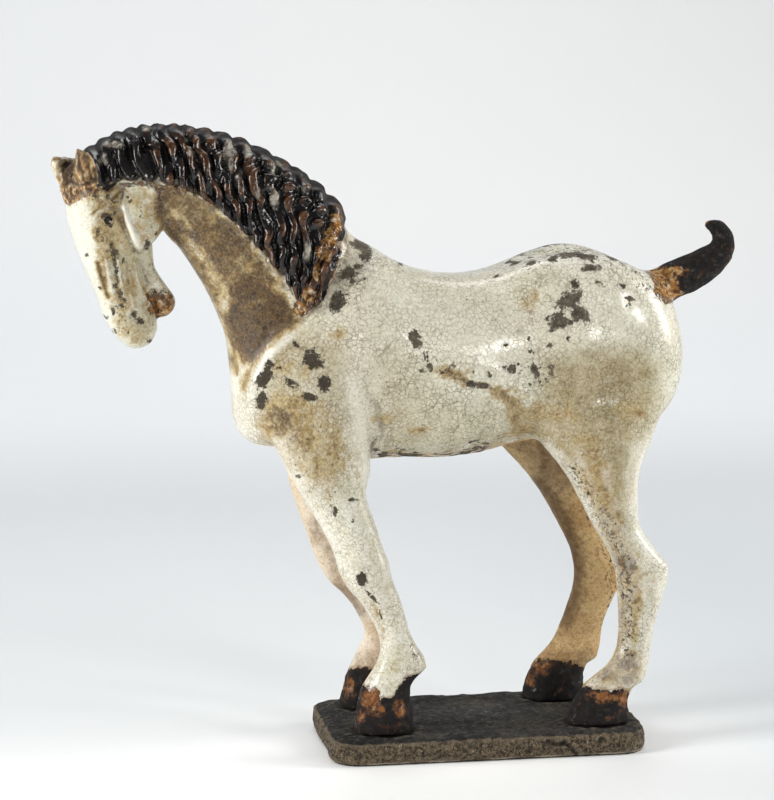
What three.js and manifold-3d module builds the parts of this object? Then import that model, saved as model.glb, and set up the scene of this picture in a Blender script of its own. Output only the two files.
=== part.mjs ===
// A tomb horse of glazed earthenware: it stands on a low slab with its head tucked in, its mane
// combed in locks down both sides of the neck and its docked tail curled up.
// Millimetres, +Z up. The origin is the centre of the slab's underside. The horse faces -X and
// its left side faces -Y.
import * as THREE from "three";
import { mergeVertices } from "three/addons/utils/BufferGeometryUtils.js";
import Module from "manifold-3d";

const wasm = await Module();
wasm.setup();

// Driving sizes
const HORSE_HEIGHT = 356; // soles to the top of the mane
const HORSE_GIRTH = 1; // widths of the body and limbs against the ones below
const SLAB_THICKNESS = 15.5;
const SLAB_LEDGE_ENDS = 8; // slab beyond the toes and heels
const SLAB_LEDGE_SIDES = 7.5; // slab beyond the hooves' outer sides
const SLAB_CORNER = 17; // radius of the slab's corners in plan
const SLAB_TOP_EDGE = 5; // radius of its worn upper edge
const SLAB_FOOT_EDGE = 2; // radius of its lower edge
const JOINT_GAP = 0.3; // slip joint between the soles and the slab
const LOCKS = 16; // locks of mane on each side
const HEAD_TURN = 15; // degrees that the head turns to the horse's left
const HEAD_PIVOT = -61; // where the head turns along X, in hundredths of the horse's height

// The rest of the horse is in hundredths of its height.
const share = (n) => (n * HORSE_HEIGHT) / 100;
const degrees = THREE.MathUtils.degToRad;

// Each row is a section: its centre x, y, z, its half depth and half width, and the angle of its
// depth in the XZ plane from +X, in degrees. The soles are at z 0.
const TRUNK = [
  [-41.4, 0, 54.5, 2.7, 3.0, 90],
  [-39.2, 0, 56.6, 8.9, 7.4, 90], // breast
  [-33.3, 0, 58.9, 12.2, 10.2, 90],
  [-26.6, 0, 60.8, 15.6, 11.2, 90],
  [-20.0, 0, 62.5, 18.2, 11.3, 90], // withers
  [-13.3, 0, 60.7, 16.1, 11.8, 90],
  [-6.5, 0, 59.7, 15.4, 12.1, 90], // barrel
  [0.2, 0, 60.0, 14.9, 12.2, 90],
  [7.0, 0, 61.4, 14.7, 11.9, 90],
  [13.8, 0, 62.2, 14.7, 12.9, 90], // croup
  [20.7, 0, 62.2, 14.4, 13.0, 90],
  [27.5, 0, 61.6, 13.0, 11.8, 90],
  [31.9, 0, 61.0, 9.4, 8.8, 90],
  [34.3, 0, 60.6, 3.8, 3.6, 90],
];
const NECK = [
  [-26.0, 0, 60.0, 15.6, 10.4, 47],
  [-30.2, 0, 67.0, 17.0, 9.2, 49.5],
  [-33.2, 0, 73.8, 13.8, 7.6, 49.6],
  [-36.8, 0, 79.0, 12.0, 6.7, 52],
  [-41.6, 0, 84.3, 10.3, 6.1, 56],
  [-47.7, 0, 88.9, 8.5, 5.7, 67],
  [-53.7, 0, 91.8, 6.4, 5.3, 81],
  [-59.0, 0, 92.9, 5.0, 4.8, 97],
  [-62.8, 0, 92.6, 3.2, 4.2, 105],
];
const HEAD = [
  [-63.4, 0, 93.4, 2.0, 3.0, -10],
  [-63.6, 0, 91.4, 3.5, 4.4, -5],
  [-63.2, 0, 88.5, 4.6, 5.1, 2],
  [-62.7, 0, 85.5, 5.1, 5.3, 3], // eyes
  [-61.6, 0, 81.6, 5.1, 4.6, 3],
  [-60.5, 0, 77.2, 4.5, 3.9, 7],
  [-59.0, 0, 72.8, 4.1, 3.5, 10],
  [-57.7, 0, 68.8, 4.0, 3.6, 11], // nostrils
  [-56.3, 0, 65.8, 3.3, 3.2, 17],
  [-55.8, 0, 63.8, 1.5, 1.8, 17],
];
const JAW = [
  [-57.4, 0, 86.0, 3.6, 4.2, -20],
  [-56.5, 0, 81.0, 3.0, 3.2, -19],
  [-55.4, 0, 77.3, 2.1, 2.4, -16],
  [-53.6, 0, 74.2, 2.1, 2.5, -8],
  [-52.2, 0, 71.6, 2.4, 2.8, -1],
  [-52.0, 0, 69.6, 2.0, 2.4, 5],
  [-52.2, 0, 68.4, 0.9, 1.2, 5],
];
const FORELOCK = [
  [-63.0, 0, 94.8, 1.6, 2.2, -60],
  [-66.0, 0, 92.9, 1.9, 2.9, -38],
  [-67.4, 0, 90.4, 1.7, 3.2, -8],
  [-67.3, 0, 88.0, 1.2, 2.6, 8],
  [-66.6, 0, 86.9, 0.5, 1.2, 10],
];
const EAR = [
  [-64.4, 3.3, 89.4, 2.5, 1.7, -8],
  [-65.2, 3.9, 92.2, 2.9, 1.9, -16],
  [-66.0, 4.3, 94.8, 2.5, 1.6, -26],
  [-67.0, 4.6, 96.6, 1.3, 0.9, -32],
];
// The far ear stands lower and is broader at its tip.
const FAR_EAR = [
  [-65.2, 3.3, 89.2, 2.7, 1.7, -8],
  [-66.0, 3.9, 91.3, 3.2, 1.9, -10],
  [-66.6, 4.3, 93.3, 3.0, 1.6, -10],
  [-66.9, 4.6, 94.8, 2.3, 0.9, -8],
];
const FORELEG = [
  [-27.6, 4.6, 70.0, 4.0, 3.4, 0], // shoulder
  [-27.6, 5.8, 62.0, 8.2, 5.6, 0],
  [-27.6, 6.4, 55.0, 9.0, 5.4, 0],
  [-27.8, 6.9, 49.0, 8.3, 4.9, -2],
  [-26.3, 7.3, 44.8, 7.2, 4.4, -2],
  [-25.7, 7.6, 39.8, 5.5, 3.9, -2],
  [-23.4, 7.8, 35.2, 4.7, 3.5, 2],
  [-21.8, 7.9, 31.1, 4.3, 3.2, 2],
  [-20.6, 8.0, 27.6, 4.4, 3.3, 3], // knee
  [-19.9, 8.1, 25.0, 4.0, 3.2, 6],
  [-18.1, 8.2, 22.3, 3.3, 2.8, 10],
  [-16.9, 8.2, 19.9, 2.95, 2.5, 12],
  [-15.6, 8.3, 16.2, 2.7, 2.4, 10],
  [-14.8, 8.3, 13.2, 3.4, 2.7, 6], // fetlock
  [-14.6, 8.4, 10.7, 4.7, 3.1, 2],
  [-16.7, 8.4, 8.0, 4.2, 3.3, 1],
  [-17.3, 8.4, 6.2, 4.4, 3.6, 0], // coronet
  [-17.4, 8.4, 0, 5.3, 4.2, 0], // sole
];
const HINDLEG = [
  [19.4, 5.2, 70.0, 7.0, 5.0, 0], // haunch
  [18.6, 6.3, 62.0, 12.0, 6.6, 0],
  [17.8, 6.7, 55.0, 13.0, 6.3, 0],
  [18.2, 7.0, 49.0, 10.7, 5.6, 0],
  [19.3, 7.4, 42.7, 6.7, 4.7, -2],
  [20.6, 7.7, 37.6, 5.1, 3.9, -2],
  [22.0, 7.9, 32.9, 3.9, 3.3, 4],
  [24.2, 8.1, 29.4, 4.0, 3.1, 4],
  [26.3, 8.2, 25.7, 4.8, 3.2, 0], // hock
  [26.1, 8.3, 21.9, 4.1, 3.0, 0],
  [25.5, 8.4, 17.0, 3.3, 2.6, -2],
  [25.0, 8.4, 12.7, 2.9, 2.4, -2],
  [24.2, 8.5, 9.8, 3.4, 2.7, -2], // fetlock
  [22.7, 8.5, 7.3, 4.4, 3.2, -7],
  [19.9, 8.5, 5.2, 4.4, 3.6, 0], // coronet
  [18.8, 8.5, 0, 5.7, 4.3, 0], // sole
];
// Balls: centre x, y, z, half sizes along x, y, z, and a lean in degrees.
const CHEEK = { at: [-56.6, 3.9, 86.0], sizes: [4.2, 2.4, 6.1], lean: 12 };
const EYE = { at: [-62.5, 4.8, 85.2], sizes: [1.2, 0.9, 1.0], lean: 0 };
// Two mounds on the croup: where they stand along x, how far they spread, how much they rise as a
// share of the section's half depth, and their angle off the spine and breadth, in radians.
const CROUP = { x: 15, spread: 12, rise: 0.3, angle: 0.62, breadth: 0.42 };
const TAIL = [
  [28.0, 0, 70.5, 3.4, 3.0, -56],
  [31.4, 0, 72.4, 3.5, 3.0, -56],
  [36.4, 0, 74.4, 3.25, 2.8, -58],
  [39.9, 0, 76.4, 2.8, 2.4, -50],
  [41.7, 0, 78.6, 2.1, 2.0, -17],
  [41.4, 0, 80.8, 1.75, 1.7, 15],
  [40.0, 0, 82.2, 1.3, 1.4, 47],
  [38.3, 0, 82.3, 0.6, 0.7, 91],
];
// Where the mane leaves the crest, where it ends on the side, and the neck's half width there:
// x and z on the crest, x and z on the hem, y on the hem. From the poll to the withers.
const MANE = [
  [-64.8, 93.9, -62.6, 90.4, 4.4],
  [-61.4, 96.3, -60.4, 91.1, 5.0],
  [-57.9, 97.6, -56.2, 91.3, 5.6],
  [-53.9, 98.4, -50.9, 90.4, 6.1],
  [-50.1, 98.5, -45.6, 87.8, 6.4],
  [-46.2, 98.0, -41.3, 84.1, 6.7],
  [-41.7, 96.9, -37.2, 79.5, 7.0],
  [-36.6, 94.8, -33.6, 74.9, 7.6],
  [-31.7, 91.9, -31.4, 71.2, 8.2],
  [-27.2, 88.6, -30.0, 70.3, 8.4],
  [-22.8, 84.0, -28.2, 71.0, 8.5],
];
// The mane's section in the valley between two locks and on the ridge of one: the angle from the
// crest at which it ends, in radians, and its height over the neck at the crest and at the hem.
// Its edge is tucked in.
const MANE_VALLEY = { reach: 1.42, crest: 1.5, hem: 0.5 };
const MANE_RIDGE = { reach: 1.62, crest: 2.0, hem: 1.8 };
const MANE_TUCK = 0.9;

// How a limb on the far side differs from the near one: its step along X, its bends, and the drop
// that grows between two heights. A bend is a height, its spread up and down, a shift along X and
// how much the half depth grows.
const NEAR_SIDE = { step: 0, bends: [], drop: 0, from: 1, to: 2 };
const FAR_FORELEG = {
  step: 0,
  bends: [
    [7, 2.5, 0.9, 0],
    [31, 6, -1.4, 0],
    [47, 8, 1.8, 0],
  ],
  drop: 2.5,
  from: 6,
  to: 20,
};
const FAR_HINDLEG = {
  step: -3.6,
  bends: [
    [12, 7, -1.7, 1.0],
    [34, 8, 1.4, 0],
  ],
  drop: 3,
  from: 8,
  to: 26,
};

// Surfaces

// Closes a stack of equal rings of points into one mesh, with a fan over each end.
function skin(rings) {
  const sides = rings[0].length;
  const middle = (ring) =>
    ring.reduce((sum, p) => sum.add(p), new THREE.Vector3()).divideScalar(sides);
  const last = rings.length - 1;
  const points = [...rings.flat(), middle(rings[0]), middle(rings[last])];
  const index = [];
  for (let i = 0; i < sides; i++) {
    const j = (i + 1) % sides;
    for (let r = 0; r < last; r++) {
      const a = r * sides;
      const b = a + sides;
      index.push(a + i, a + j, b + j, a + i, b + j, b + i);
    }
    index.push(rings.length * sides, j, i);
    index.push(rings.length * sides + 1, last * sides + i, last * sides + j);
  }
  const geometry = new THREE.BufferGeometry().setFromPoints(points);
  geometry.setIndex(index);
  return geometry;
}

// A smooth curve through three of a table's columns.
function smooth(rows, columns) {
  const points = rows.map((row) => new THREE.Vector3(...columns.map((column) => row[column])));
  return new THREE.CatmullRomCurve3(points, false, "catmullrom");
}

// A smooth run of sections through the rows, from t 0 to 1.
function run(rows) {
  const places = smooth(rows, [0, 1, 2]);
  const sizes = smooth(rows, [3, 4, 5]);
  return (t) => {
    const place = places.getPoint(t);
    const size = sizes.getPoint(t);
    const lean = degrees(size.z);
    return {
      centre: new THREE.Vector3(share(place.x), share(place.y) * HORSE_GIRTH, share(place.z)),
      deep: share(size.x),
      wide: share(size.y) * HORSE_GIRTH,
      along: new THREE.Vector3(Math.cos(lean), 0, Math.sin(lean)),
    };
  };
}

// The sections are ovals, the squarer the higher the power. Relief lifts or sinks a section's rim
// by a share of its half depth, at an angle from its deep end.
function loft(rows, ringCount, sides, { power = 2, relief = () => 0 } = {}) {
  const at = run(rows);
  const bowed = (v) => Math.sign(v) * Math.abs(v) ** (2 / power);
  const rings = [];
  for (let r = 0; r < ringCount; r++) {
    const section = at(r / (ringCount - 1));
    const ring = [];
    for (let i = 0; i < sides; i++) {
      const angle = ((2 * i) / sides - 1) * Math.PI;
      const lifted = bowed(Math.cos(angle)) + relief(section, angle);
      ring.push(
        section.centre
          .clone()
          .addScaledVector(section.along, section.deep * lifted)
          .add(new THREE.Vector3(0, section.wide * bowed(Math.sin(angle)), 0)),
      );
    }
    rings.push(ring);
  }
  return skin(rings);
}

// Solids

function solid(geometry) {
  const bare = geometry.clone();
  bare.deleteAttribute("normal");
  bare.deleteAttribute("uv");
  const merged = mergeVertices(bare, 1e-4);
  const made = new wasm.Manifold(
    new wasm.Mesh({
      numProp: 3,
      vertProperties: merged.attributes.position.array,
      triVerts: new Uint32Array(merged.index.array),
    }),
  );
  return made.volume() > 0 ? made : solid(turnedOut(geometry));
}

function turnedOut(geometry) {
  const turned = geometry.clone();
  turned.setIndex(Array.from(geometry.index.array).reverse());
  return turned;
}

function joined(geometries) {
  return wasm.Manifold.union(geometries.map(solid));
}

function geometryOf(manifold) {
  const mesh = manifold.getMesh();
  const geometry = new THREE.BufferGeometry();
  geometry.setAttribute("position", new THREE.BufferAttribute(mesh.vertProperties, 3));
  geometry.setIndex(new THREE.BufferAttribute(mesh.triVerts, 1));
  geometry.computeVertexNormals();
  return geometry;
}

// The horse

const bump = (offset, width) => Math.exp(-((offset / width) ** 2));

// The croup rises in two mounds parted by a groove along the spine.
function croup(section, angle) {
  const here = bump(section.centre.x - share(CROUP.x), share(CROUP.spread));
  return here * CROUP.rise * bump(Math.abs(angle) - CROUP.angle, CROUP.breadth);
}

// The mane is a stack of arches over the neck from the poll to the withers, each from the hem on
// one side to the hem on the other. The arches swell and shrink, and so part it into locks.
function mane() {
  const crests = smooth(MANE, [0, 1, 4]);
  const hems = smooth(MANE, [2, 3, 4]);
  const archesPerLock = 4;
  const count = LOCKS * archesPerLock;
  const rings = [];
  for (let k = 0; k <= count; k++) {
    const swell = Math.sqrt(Math.sin((Math.PI * (k % archesPerLock)) / archesPerLock));
    rings.push(arch(crests.getPoint(k / count), hems.getPoint(k / count), swell));
  }
  return skin(rings);
}

// The crest and the hem hold x, z and the neck's half width. The last point closes the arch
// inside the neck.
function arch(crest, hem, swell) {
  const { lerp } = THREE.MathUtils;
  const slope = Math.atan2(crest.y - hem.y, crest.x - hem.x);
  const reach = lerp(MANE_VALLEY.reach, MANE_RIDGE.reach, swell);
  const atCrest = lerp(MANE_VALLEY.crest, MANE_RIDGE.crest, swell);
  const atHem = lerp(MANE_VALLEY.hem, MANE_RIDGE.hem, swell);
  const ring = [-1, -0.94, -0.72, -0.48, -0.24, 0, 0.24, 0.48, 0.72, 0.94, 1].map((way) => {
    const turn = way * reach;
    const down = 1 - Math.cos(turn);
    const side = Math.abs(way);
    const lift = side === 1 ? -MANE_TUCK : lerp(atCrest, atHem, Math.sqrt(side));
    return new THREE.Vector3(
      share(lerp(crest.x, hem.x, down) + lift * Math.cos(slope) * Math.cos(turn)),
      share(hem.z + lift) * HORSE_GIRTH * Math.sin(turn),
      share(lerp(crest.y, hem.y, down) + lift * Math.sin(slope) * Math.cos(turn)),
    );
  });
  ring.push(new THREE.Vector3(share((crest.x + hem.x) / 2), 0, share((crest.y + hem.y) / 2)));
  return ring;
}

// Sets a table's sections on one side of the horse, in that side's own stance.
function posed(rows, side, stance = NEAR_SIDE) {
  return rows.map(([x, y, z, deep, wide, lean]) => {
    let ahead = stance.step;
    let stouter = 0;
    for (const [height, spread, shift, growth] of stance.bends) {
      ahead += shift * bump(z - height, spread);
      stouter += growth * bump(z - height, spread);
    }
    const lower = stance.drop * THREE.MathUtils.smoothstep(z, stance.from, stance.to);
    return [x + ahead, side * y, z - lower, deep + stouter, wide, lean];
  });
}

// A ball in `around` by `down` facets on one side of the head.
function ball({ at: [x, y, z], sizes, lean }, side, around, down) {
  const geometry = new THREE.SphereGeometry(1, around, down);
  geometry.scale(share(sizes[0]), share(sizes[1]) * HORSE_GIRTH, share(sizes[2]));
  geometry.rotateY(degrees(lean));
  geometry.translate(share(x), side * share(y) * HORSE_GIRTH, share(z));
  return geometry;
}

function head() {
  const pivot = share(HEAD_PIVOT);
  const pieces = [
    loft(HEAD, 17, 16, { power: 2.5 }),
    loft(JAW, 10, 10),
    loft(FORELOCK, 7, 8),
    ...[-1, 1].flatMap((side) => [ball(CHEEK, side, 14, 8), ball(EYE, side, 8, 6)]),
    loft(posed(EAR, -1), 6, 8),
    loft(posed(FAR_EAR, 1), 6, 8),
  ];
  for (const piece of pieces) {
    piece.translate(-pivot, 0, 0);
    piece.rotateZ(degrees(HEAD_TURN));
    piece.translate(pivot, 0, 0);
  }
  return pieces;
}

function legs() {
  return [
    loft(posed(FORELEG, -1), 25, 12),
    loft(posed(FORELEG, 1, FAR_FORELEG), 25, 12),
    loft(posed(HINDLEG, -1), 24, 12),
    loft(posed(HINDLEG, 1, FAR_HINDLEG), 24, 12),
  ];
}

function horse() {
  const body = [
    loft(TRUNK, 26, 28, { power: 2.35, relief: croup }),
    loft(NECK, 16, 20),
    loft(TAIL, 13, 9),
    ...head(),
    ...legs(),
    mane(),
  ];
  const geometry = geometryOf(joined(body));
  geometry.translate(0, 0, SLAB_THICKNESS + JOINT_GAP);
  return geometry;
}

// The slab

function footing() {
  const fore = FORELEG[FORELEG.length - 1];
  const hind = HINDLEG[HINDLEG.length - 1];
  const toe = share(fore[0] - fore[3]);
  const heel = share(hind[0] + hind[3]);
  const side = share(hind[1] + hind[4]) * HORSE_GIRTH;
  return { halfLength: Math.max(-toe, heel) + SLAB_LEDGE_ENDS, halfWidth: side + SLAB_LEDGE_SIDES };
}

function slabRing(z, inset) {
  const { halfLength, halfWidth } = footing();
  const radius = SLAB_CORNER - inset;
  const stepsPerCorner = 5;
  const ring = [];
  for (let corner = 0; corner < 4; corner++) {
    const right = corner === 0 || corner === 3 ? 1 : -1;
    const far = corner < 2 ? 1 : -1;
    for (let i = 0; i <= stepsPerCorner; i++) {
      const angle = (Math.PI / 2) * (corner + i / stepsPerCorner);
      ring.push(
        new THREE.Vector3(
          right * (halfLength - SLAB_CORNER) + radius * Math.cos(angle),
          far * (halfWidth - SLAB_CORNER) + radius * Math.sin(angle),
          z,
        ),
      );
    }
  }
  return ring;
}

function slab() {
  const rings = [];
  for (const angle of [0, 45, 90].map(degrees)) {
    const inset = SLAB_FOOT_EDGE * (1 - Math.sin(angle));
    rings.push(slabRing(SLAB_FOOT_EDGE * (1 - Math.cos(angle)), inset));
  }
  for (const angle of [0, 30, 60, 90].map(degrees)) {
    const inset = SLAB_TOP_EDGE * (1 - Math.cos(angle));
    rings.push(slabRing(SLAB_THICKNESS - SLAB_TOP_EDGE * (1 - Math.sin(angle)), inset));
  }
  return geometryOf(solid(skin(rings)));
}

// The object

const glaze = new THREE.MeshStandardMaterial({ color: 0xd9d3b8, roughness: 0.25, metalness: 0 });
const bareClay = new THREE.MeshStandardMaterial({ color: 0x4a4138, roughness: 0.9, metalness: 0 });

function piece(name, geometry, material) {
  const mesh = new THREE.Mesh(geometry, material);
  mesh.name = name;
  return mesh;
}

const tombHorse = new THREE.Group();
tombHorse.add(piece("horse", horse(), glaze));
tombHorse.add(piece("slab", slab(), bareClay));

export default tombHorse;
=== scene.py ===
"""The looks of a tomb horse of glazed earthenware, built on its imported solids.

The horse's solid is remeshed finely, softened and carved: hair, eyes, nostrils, folds and chips.
The slab is remeshed and roughened. Fields kept on both meshes steer the materials, which break
them up with noise. Features on the near side are placed by their spot in the picture, through the
same camera, and mirrored to the far side.
"""
import math

import bpy
import numpy as np
from mathutils import Matrix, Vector
from mathutils.kdtree import KDTree


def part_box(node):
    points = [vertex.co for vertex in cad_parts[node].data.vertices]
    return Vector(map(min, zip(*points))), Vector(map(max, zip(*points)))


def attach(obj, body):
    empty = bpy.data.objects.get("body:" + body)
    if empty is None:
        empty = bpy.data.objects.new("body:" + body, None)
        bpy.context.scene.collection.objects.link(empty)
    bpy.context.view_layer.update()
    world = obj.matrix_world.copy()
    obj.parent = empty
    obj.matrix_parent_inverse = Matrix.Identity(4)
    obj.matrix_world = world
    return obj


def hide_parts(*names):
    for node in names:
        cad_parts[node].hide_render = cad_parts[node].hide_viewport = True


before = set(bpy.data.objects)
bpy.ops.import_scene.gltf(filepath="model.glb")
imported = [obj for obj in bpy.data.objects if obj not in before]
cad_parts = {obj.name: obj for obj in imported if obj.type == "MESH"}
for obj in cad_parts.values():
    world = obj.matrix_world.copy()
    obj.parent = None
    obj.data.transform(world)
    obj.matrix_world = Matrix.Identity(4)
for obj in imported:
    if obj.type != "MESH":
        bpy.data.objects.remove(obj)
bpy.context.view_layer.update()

# Sizes, in millimetres
HORSE_HEIGHT = 356
SHARE = HORSE_HEIGHT / 100
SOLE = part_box("horse")[0][2] * 1000
HEAD_TURN = math.radians(15)
HEAD_PIVOT = -61 * SHARE
HORSE_GRAIN = 1.0
SLAB_GRAIN = 1.4
MOST_FACES = 190000

# The camera, in degrees, millimetres and pixels of a 774 by 800 picture
VIEW_AZIMUTH = math.radians(-9.5)
VIEW_HEIGHT = math.radians(9.3)
VIEW_DISTANCE = 1800.0
VIEW_TARGET = np.array([-55.0, 0.0, 208.0])
MM_PER_PIXEL = 0.59
PICTURE = (774, 800)

# The mane, in hundredths of the horse's height above its soles: x and z on the crest, x and z on
# the hem, and the neck's half width, from the poll to the withers.
MANE = np.array([
    [-64.8, 93.9, -62.6, 90.4, 4.4],
    [-61.4, 96.3, -60.4, 91.1, 5.0],
    [-57.9, 97.6, -56.2, 91.3, 5.6],
    [-53.9, 98.4, -50.9, 90.4, 6.1],
    [-50.1, 98.5, -45.6, 87.8, 6.4],
    [-46.2, 98.0, -41.3, 84.1, 6.7],
    [-41.7, 96.9, -37.2, 79.5, 7.0],
    [-36.6, 94.8, -33.6, 74.9, 7.6],
    [-31.7, 91.9, -31.4, 71.2, 8.2],
    [-27.2, 88.6, -30.0, 70.3, 8.4],
    [-22.8, 84.0, -28.2, 71.0, 8.5],
])
# The locks on each side, and the millimetres from one lump to the next along a lock.
LOCKS = 16
LUMP = 15.0


# Numbers and noise

def smoothstep(value, low, high):
    part = np.clip((value - low) / (high - low), 0, 1)
    return part * part * (3 - 2 * part)


def bell(value, width):
    """1 at zero, falling off smoothly on both sides."""
    return np.exp(-((value / width) ** 2))


def hashed(x, y, z, seed):
    """Numbers from 0 to 1 that look random, the same for the same whole numbers."""
    mixed = (x * 374761393 + y * 668265263 + z * 1440662683 + seed * 974634777) & 0xFFFFFFFF
    mixed = ((mixed ^ (mixed >> 13)) * 1274126177) & 0xFFFFFFFF
    return ((mixed ^ (mixed >> 16)) & 0xFFFF) / 65535.0


def noise(points, grain, seed=0):
    """Smooth noise from -1 to 1, its grains that many millimetres apart."""
    place = points / grain
    corner = np.floor(place).astype(np.int64)
    part = place - corner
    part = part * part * (3 - 2 * part)
    total = np.zeros(len(points))
    for steps in np.ndindex(2, 2, 2):
        weight = 1.0
        for axis, step in enumerate(steps):
            weight = weight * (part[:, axis] if step else 1 - part[:, axis])
        total += weight * hashed(*(corner + steps).T, seed)
    return 2 * total - 1


def catmull(rows, spots):
    """Points on a smooth curve through the rows, for spots from 0 to 1."""
    padded = np.vstack([2 * rows[0] - rows[1], rows, 2 * rows[-1] - rows[-2]])
    place = np.clip(spots, 0, 1) * (len(rows) - 1)
    index = np.minimum(place.astype(int), len(rows) - 2)
    w = (place - index)[:, None]
    before, here, there, after = (padded[index + k] for k in range(4))
    return (
        (2 * w**3 - 3 * w**2 + 1) * here
        + (w**3 - 2 * w**2 + w) * 0.5 * (there - before)
        + (3 * w**2 - 2 * w**3) * there
        + (w**3 - w**2) * 0.5 * (after - here)
    )


# The picture

def view_axes():
    turn, rise = VIEW_AZIMUTH, VIEW_HEIGHT
    back = np.array([math.sin(turn) * math.cos(rise), -math.cos(turn) * math.cos(rise), math.sin(rise)])
    right = np.array([math.cos(turn), math.sin(turn), 0.0])
    return right, np.cross(back, right), back


RIGHT, UP, BACK = view_axes()
EYE = VIEW_TARGET + BACK * VIEW_DISTANCE
FOCAL = VIEW_DISTANCE / MM_PER_PIXEL


def picture(points):
    """Where points in millimetres fall in the picture, in pixels from its upper left."""
    rays = points - EYE
    depth = -(rays @ BACK)
    across = PICTURE[0] / 2 + FOCAL * (rays @ RIGHT) / depth
    down = PICTURE[1] / 2 - FOCAL * (rays @ UP) / depth
    return np.stack([across, down], 1)


def from_path(spots, path):
    """Each spot's distance from a path of picture points, and how far along it lies, 0 to 1."""
    path = np.asarray(path, float)
    if len(path) == 1:
        return np.hypot(*(spots - path[0]).T), np.full(len(spots), 0.5)
    steps = np.hypot(*np.diff(path, axis=0).T)
    starts = np.concatenate([[0], np.cumsum(steps)])
    nearest = np.full(len(spots), 1e9)
    along = np.zeros(len(spots))
    for k, step in enumerate(steps):
        leg = (path[k + 1] - path[k]) / step
        reach = np.clip((spots - path[k]) @ leg, 0, step)
        away = np.hypot(*(spots - path[k] - reach[:, None] * leg).T)
        closer = away < nearest
        nearest = np.where(closer, away, nearest)
        along = np.where(closer, (starts[k] + reach) / starts[-1], along)
    return nearest, along


def inside(spots, outline):
    """Signed distance in pixels from a closed outline, above zero inside it."""
    outline = np.asarray(outline, float)
    within = np.zeros(len(spots), bool)
    for a, b in zip(outline, np.roll(outline, -1, axis=0)):
        crosses = (a[1] > spots[:, 1]) != (b[1] > spots[:, 1])
        rise = b[1] - a[1] if b[1] != a[1] else 1e-9
        within ^= crosses & (spots[:, 0] < (b[0] - a[0]) * (spots[:, 1] - a[1]) / rise + a[0])
    away = from_path(spots, np.vstack([outline, outline[:1]]))[0]
    return np.where(within, away, -away)


# Meshes as arrays

def placed(name, data):
    """A new object in the scene."""
    made = bpy.data.objects.new(name, data)
    bpy.context.collection.objects.link(made)
    return made


def mesh_of(name, points, faces):
    """A new mesh from points in millimetres and faces."""
    mesh = bpy.data.meshes.new(name)
    mesh.from_pydata(points / 1000, [], faces.tolist())
    return mesh


def modified(work):
    """The mesh that an object's modifier makes. The object and its own mesh are removed."""
    graph = bpy.context.evaluated_depsgraph_get()
    made = bpy.data.meshes.new_from_object(work.evaluated_get(graph))
    before = work.data
    bpy.data.objects.remove(work)
    bpy.data.meshes.remove(before)
    return made


def read(rows, key, kind, wide):
    """One property of a mesh's points, corners or triangles, as an array that many wide."""
    values = np.empty(len(rows) * wide, kind)
    rows.foreach_get(key, values)
    return values.reshape(-1, wide)


def remeshed(node, grain):
    """The node's surface as even quads that many millimetres wide, as points in mm and faces."""
    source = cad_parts[node]
    work = placed("work", source.data.copy())
    work.matrix_world = source.matrix_world
    remesh = work.modifiers.new("remesh", "REMESH")
    remesh.mode = "VOXEL"
    remesh.voxel_size = grain / 1000
    made = modified(work)
    matrix = np.array(source.matrix_world)
    points = (read(made.vertices, "co", float, 3) @ matrix[:3, :3].T + matrix[:3, 3]) * 1000
    quads = read(made.loops, "vertex_index", np.int64, 1).reshape(-1, 4)
    bpy.data.meshes.remove(made)
    return points, quads


def edges_of(faces):
    pairs = np.concatenate([faces[:, [k, (k + 1) % faces.shape[1]]] for k in range(faces.shape[1])])
    pairs.sort(axis=1)
    return np.unique(pairs[:, 0] * (1 << 32) + pairs[:, 1])


def averager(faces, count):
    """A function that gives, for values on the points, the mean over each point's neighbours."""
    keys = edges_of(faces)
    first, second = keys >> 32, keys & 0xFFFFFFFF
    here = np.concatenate([first, second])
    there = np.concatenate([second, first])
    order = np.argsort(here, kind="stable")
    here, there = here[order], there[order]
    degree = np.maximum(np.bincount(here, minlength=count), 1)

    def mean(values):
        if values.ndim == 1:
            return np.bincount(here, values[there], count) / degree
        columns = [np.bincount(here, values[there, k], count) / degree for k in range(values.shape[1])]
        return np.stack(columns, 1)

    return mean


def spread(values, mean, rounds):
    """Values on the points, smoothed over their neighbours that many times."""
    for _ in range(rounds):
        values = 0.5 * values + 0.5 * mean(values)
    return values


def bends(points, normals, mean, rounds):
    """How far each point lies below its neighbours, smoothed: below zero on ridges."""
    return spread(((mean(points) - points) * normals).sum(1), mean, rounds)


def normals_of(points, faces):
    last = faces.shape[1] - 1
    if last == 3:
        face = np.cross(points[faces[:, 2]] - points[faces[:, 0]], points[faces[:, 3]] - points[faces[:, 1]])
    else:
        face = np.cross(points[faces[:, 1]] - points[faces[:, 0]], points[faces[:, 2]] - points[faces[:, 0]])
    total = np.zeros_like(points)
    for k in range(last + 1):
        for axis in range(3):
            total[:, axis] += np.bincount(faces[:, k], face[:, axis], len(points))
    return total / np.maximum(np.linalg.norm(total, axis=1, keepdims=True), 1e-9)


# Where each point of the horse is

# The head seen from its own side, in hundredths of the horse's height.
HEAD_OUTLINE = [
    (-75, 60), (-45, 60), (-48.5, 74), (-51, 80), (-52, 84), (-52, 88), (-54, 91), (-58, 92.8),
    (-62.5, 93.6), (-63.4, 100), (-76, 100),
]
# The near ear in the picture.
NEAR_EAR = [(70, 188), (71, 160), (74, 146), (81, 147), (91, 156), (97, 168), (99, 184)]


def turned(points, angle):
    """Points turned about the upright line through the head's pivot."""
    moved = points.copy()
    x = points[:, 0] - HEAD_PIVOT
    moved[:, 0] = HEAD_PIVOT + x * math.cos(angle) - points[:, 1] * math.sin(angle)
    moved[:, 1] = x * math.sin(angle) + points[:, 1] * math.cos(angle)
    return moved


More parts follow.
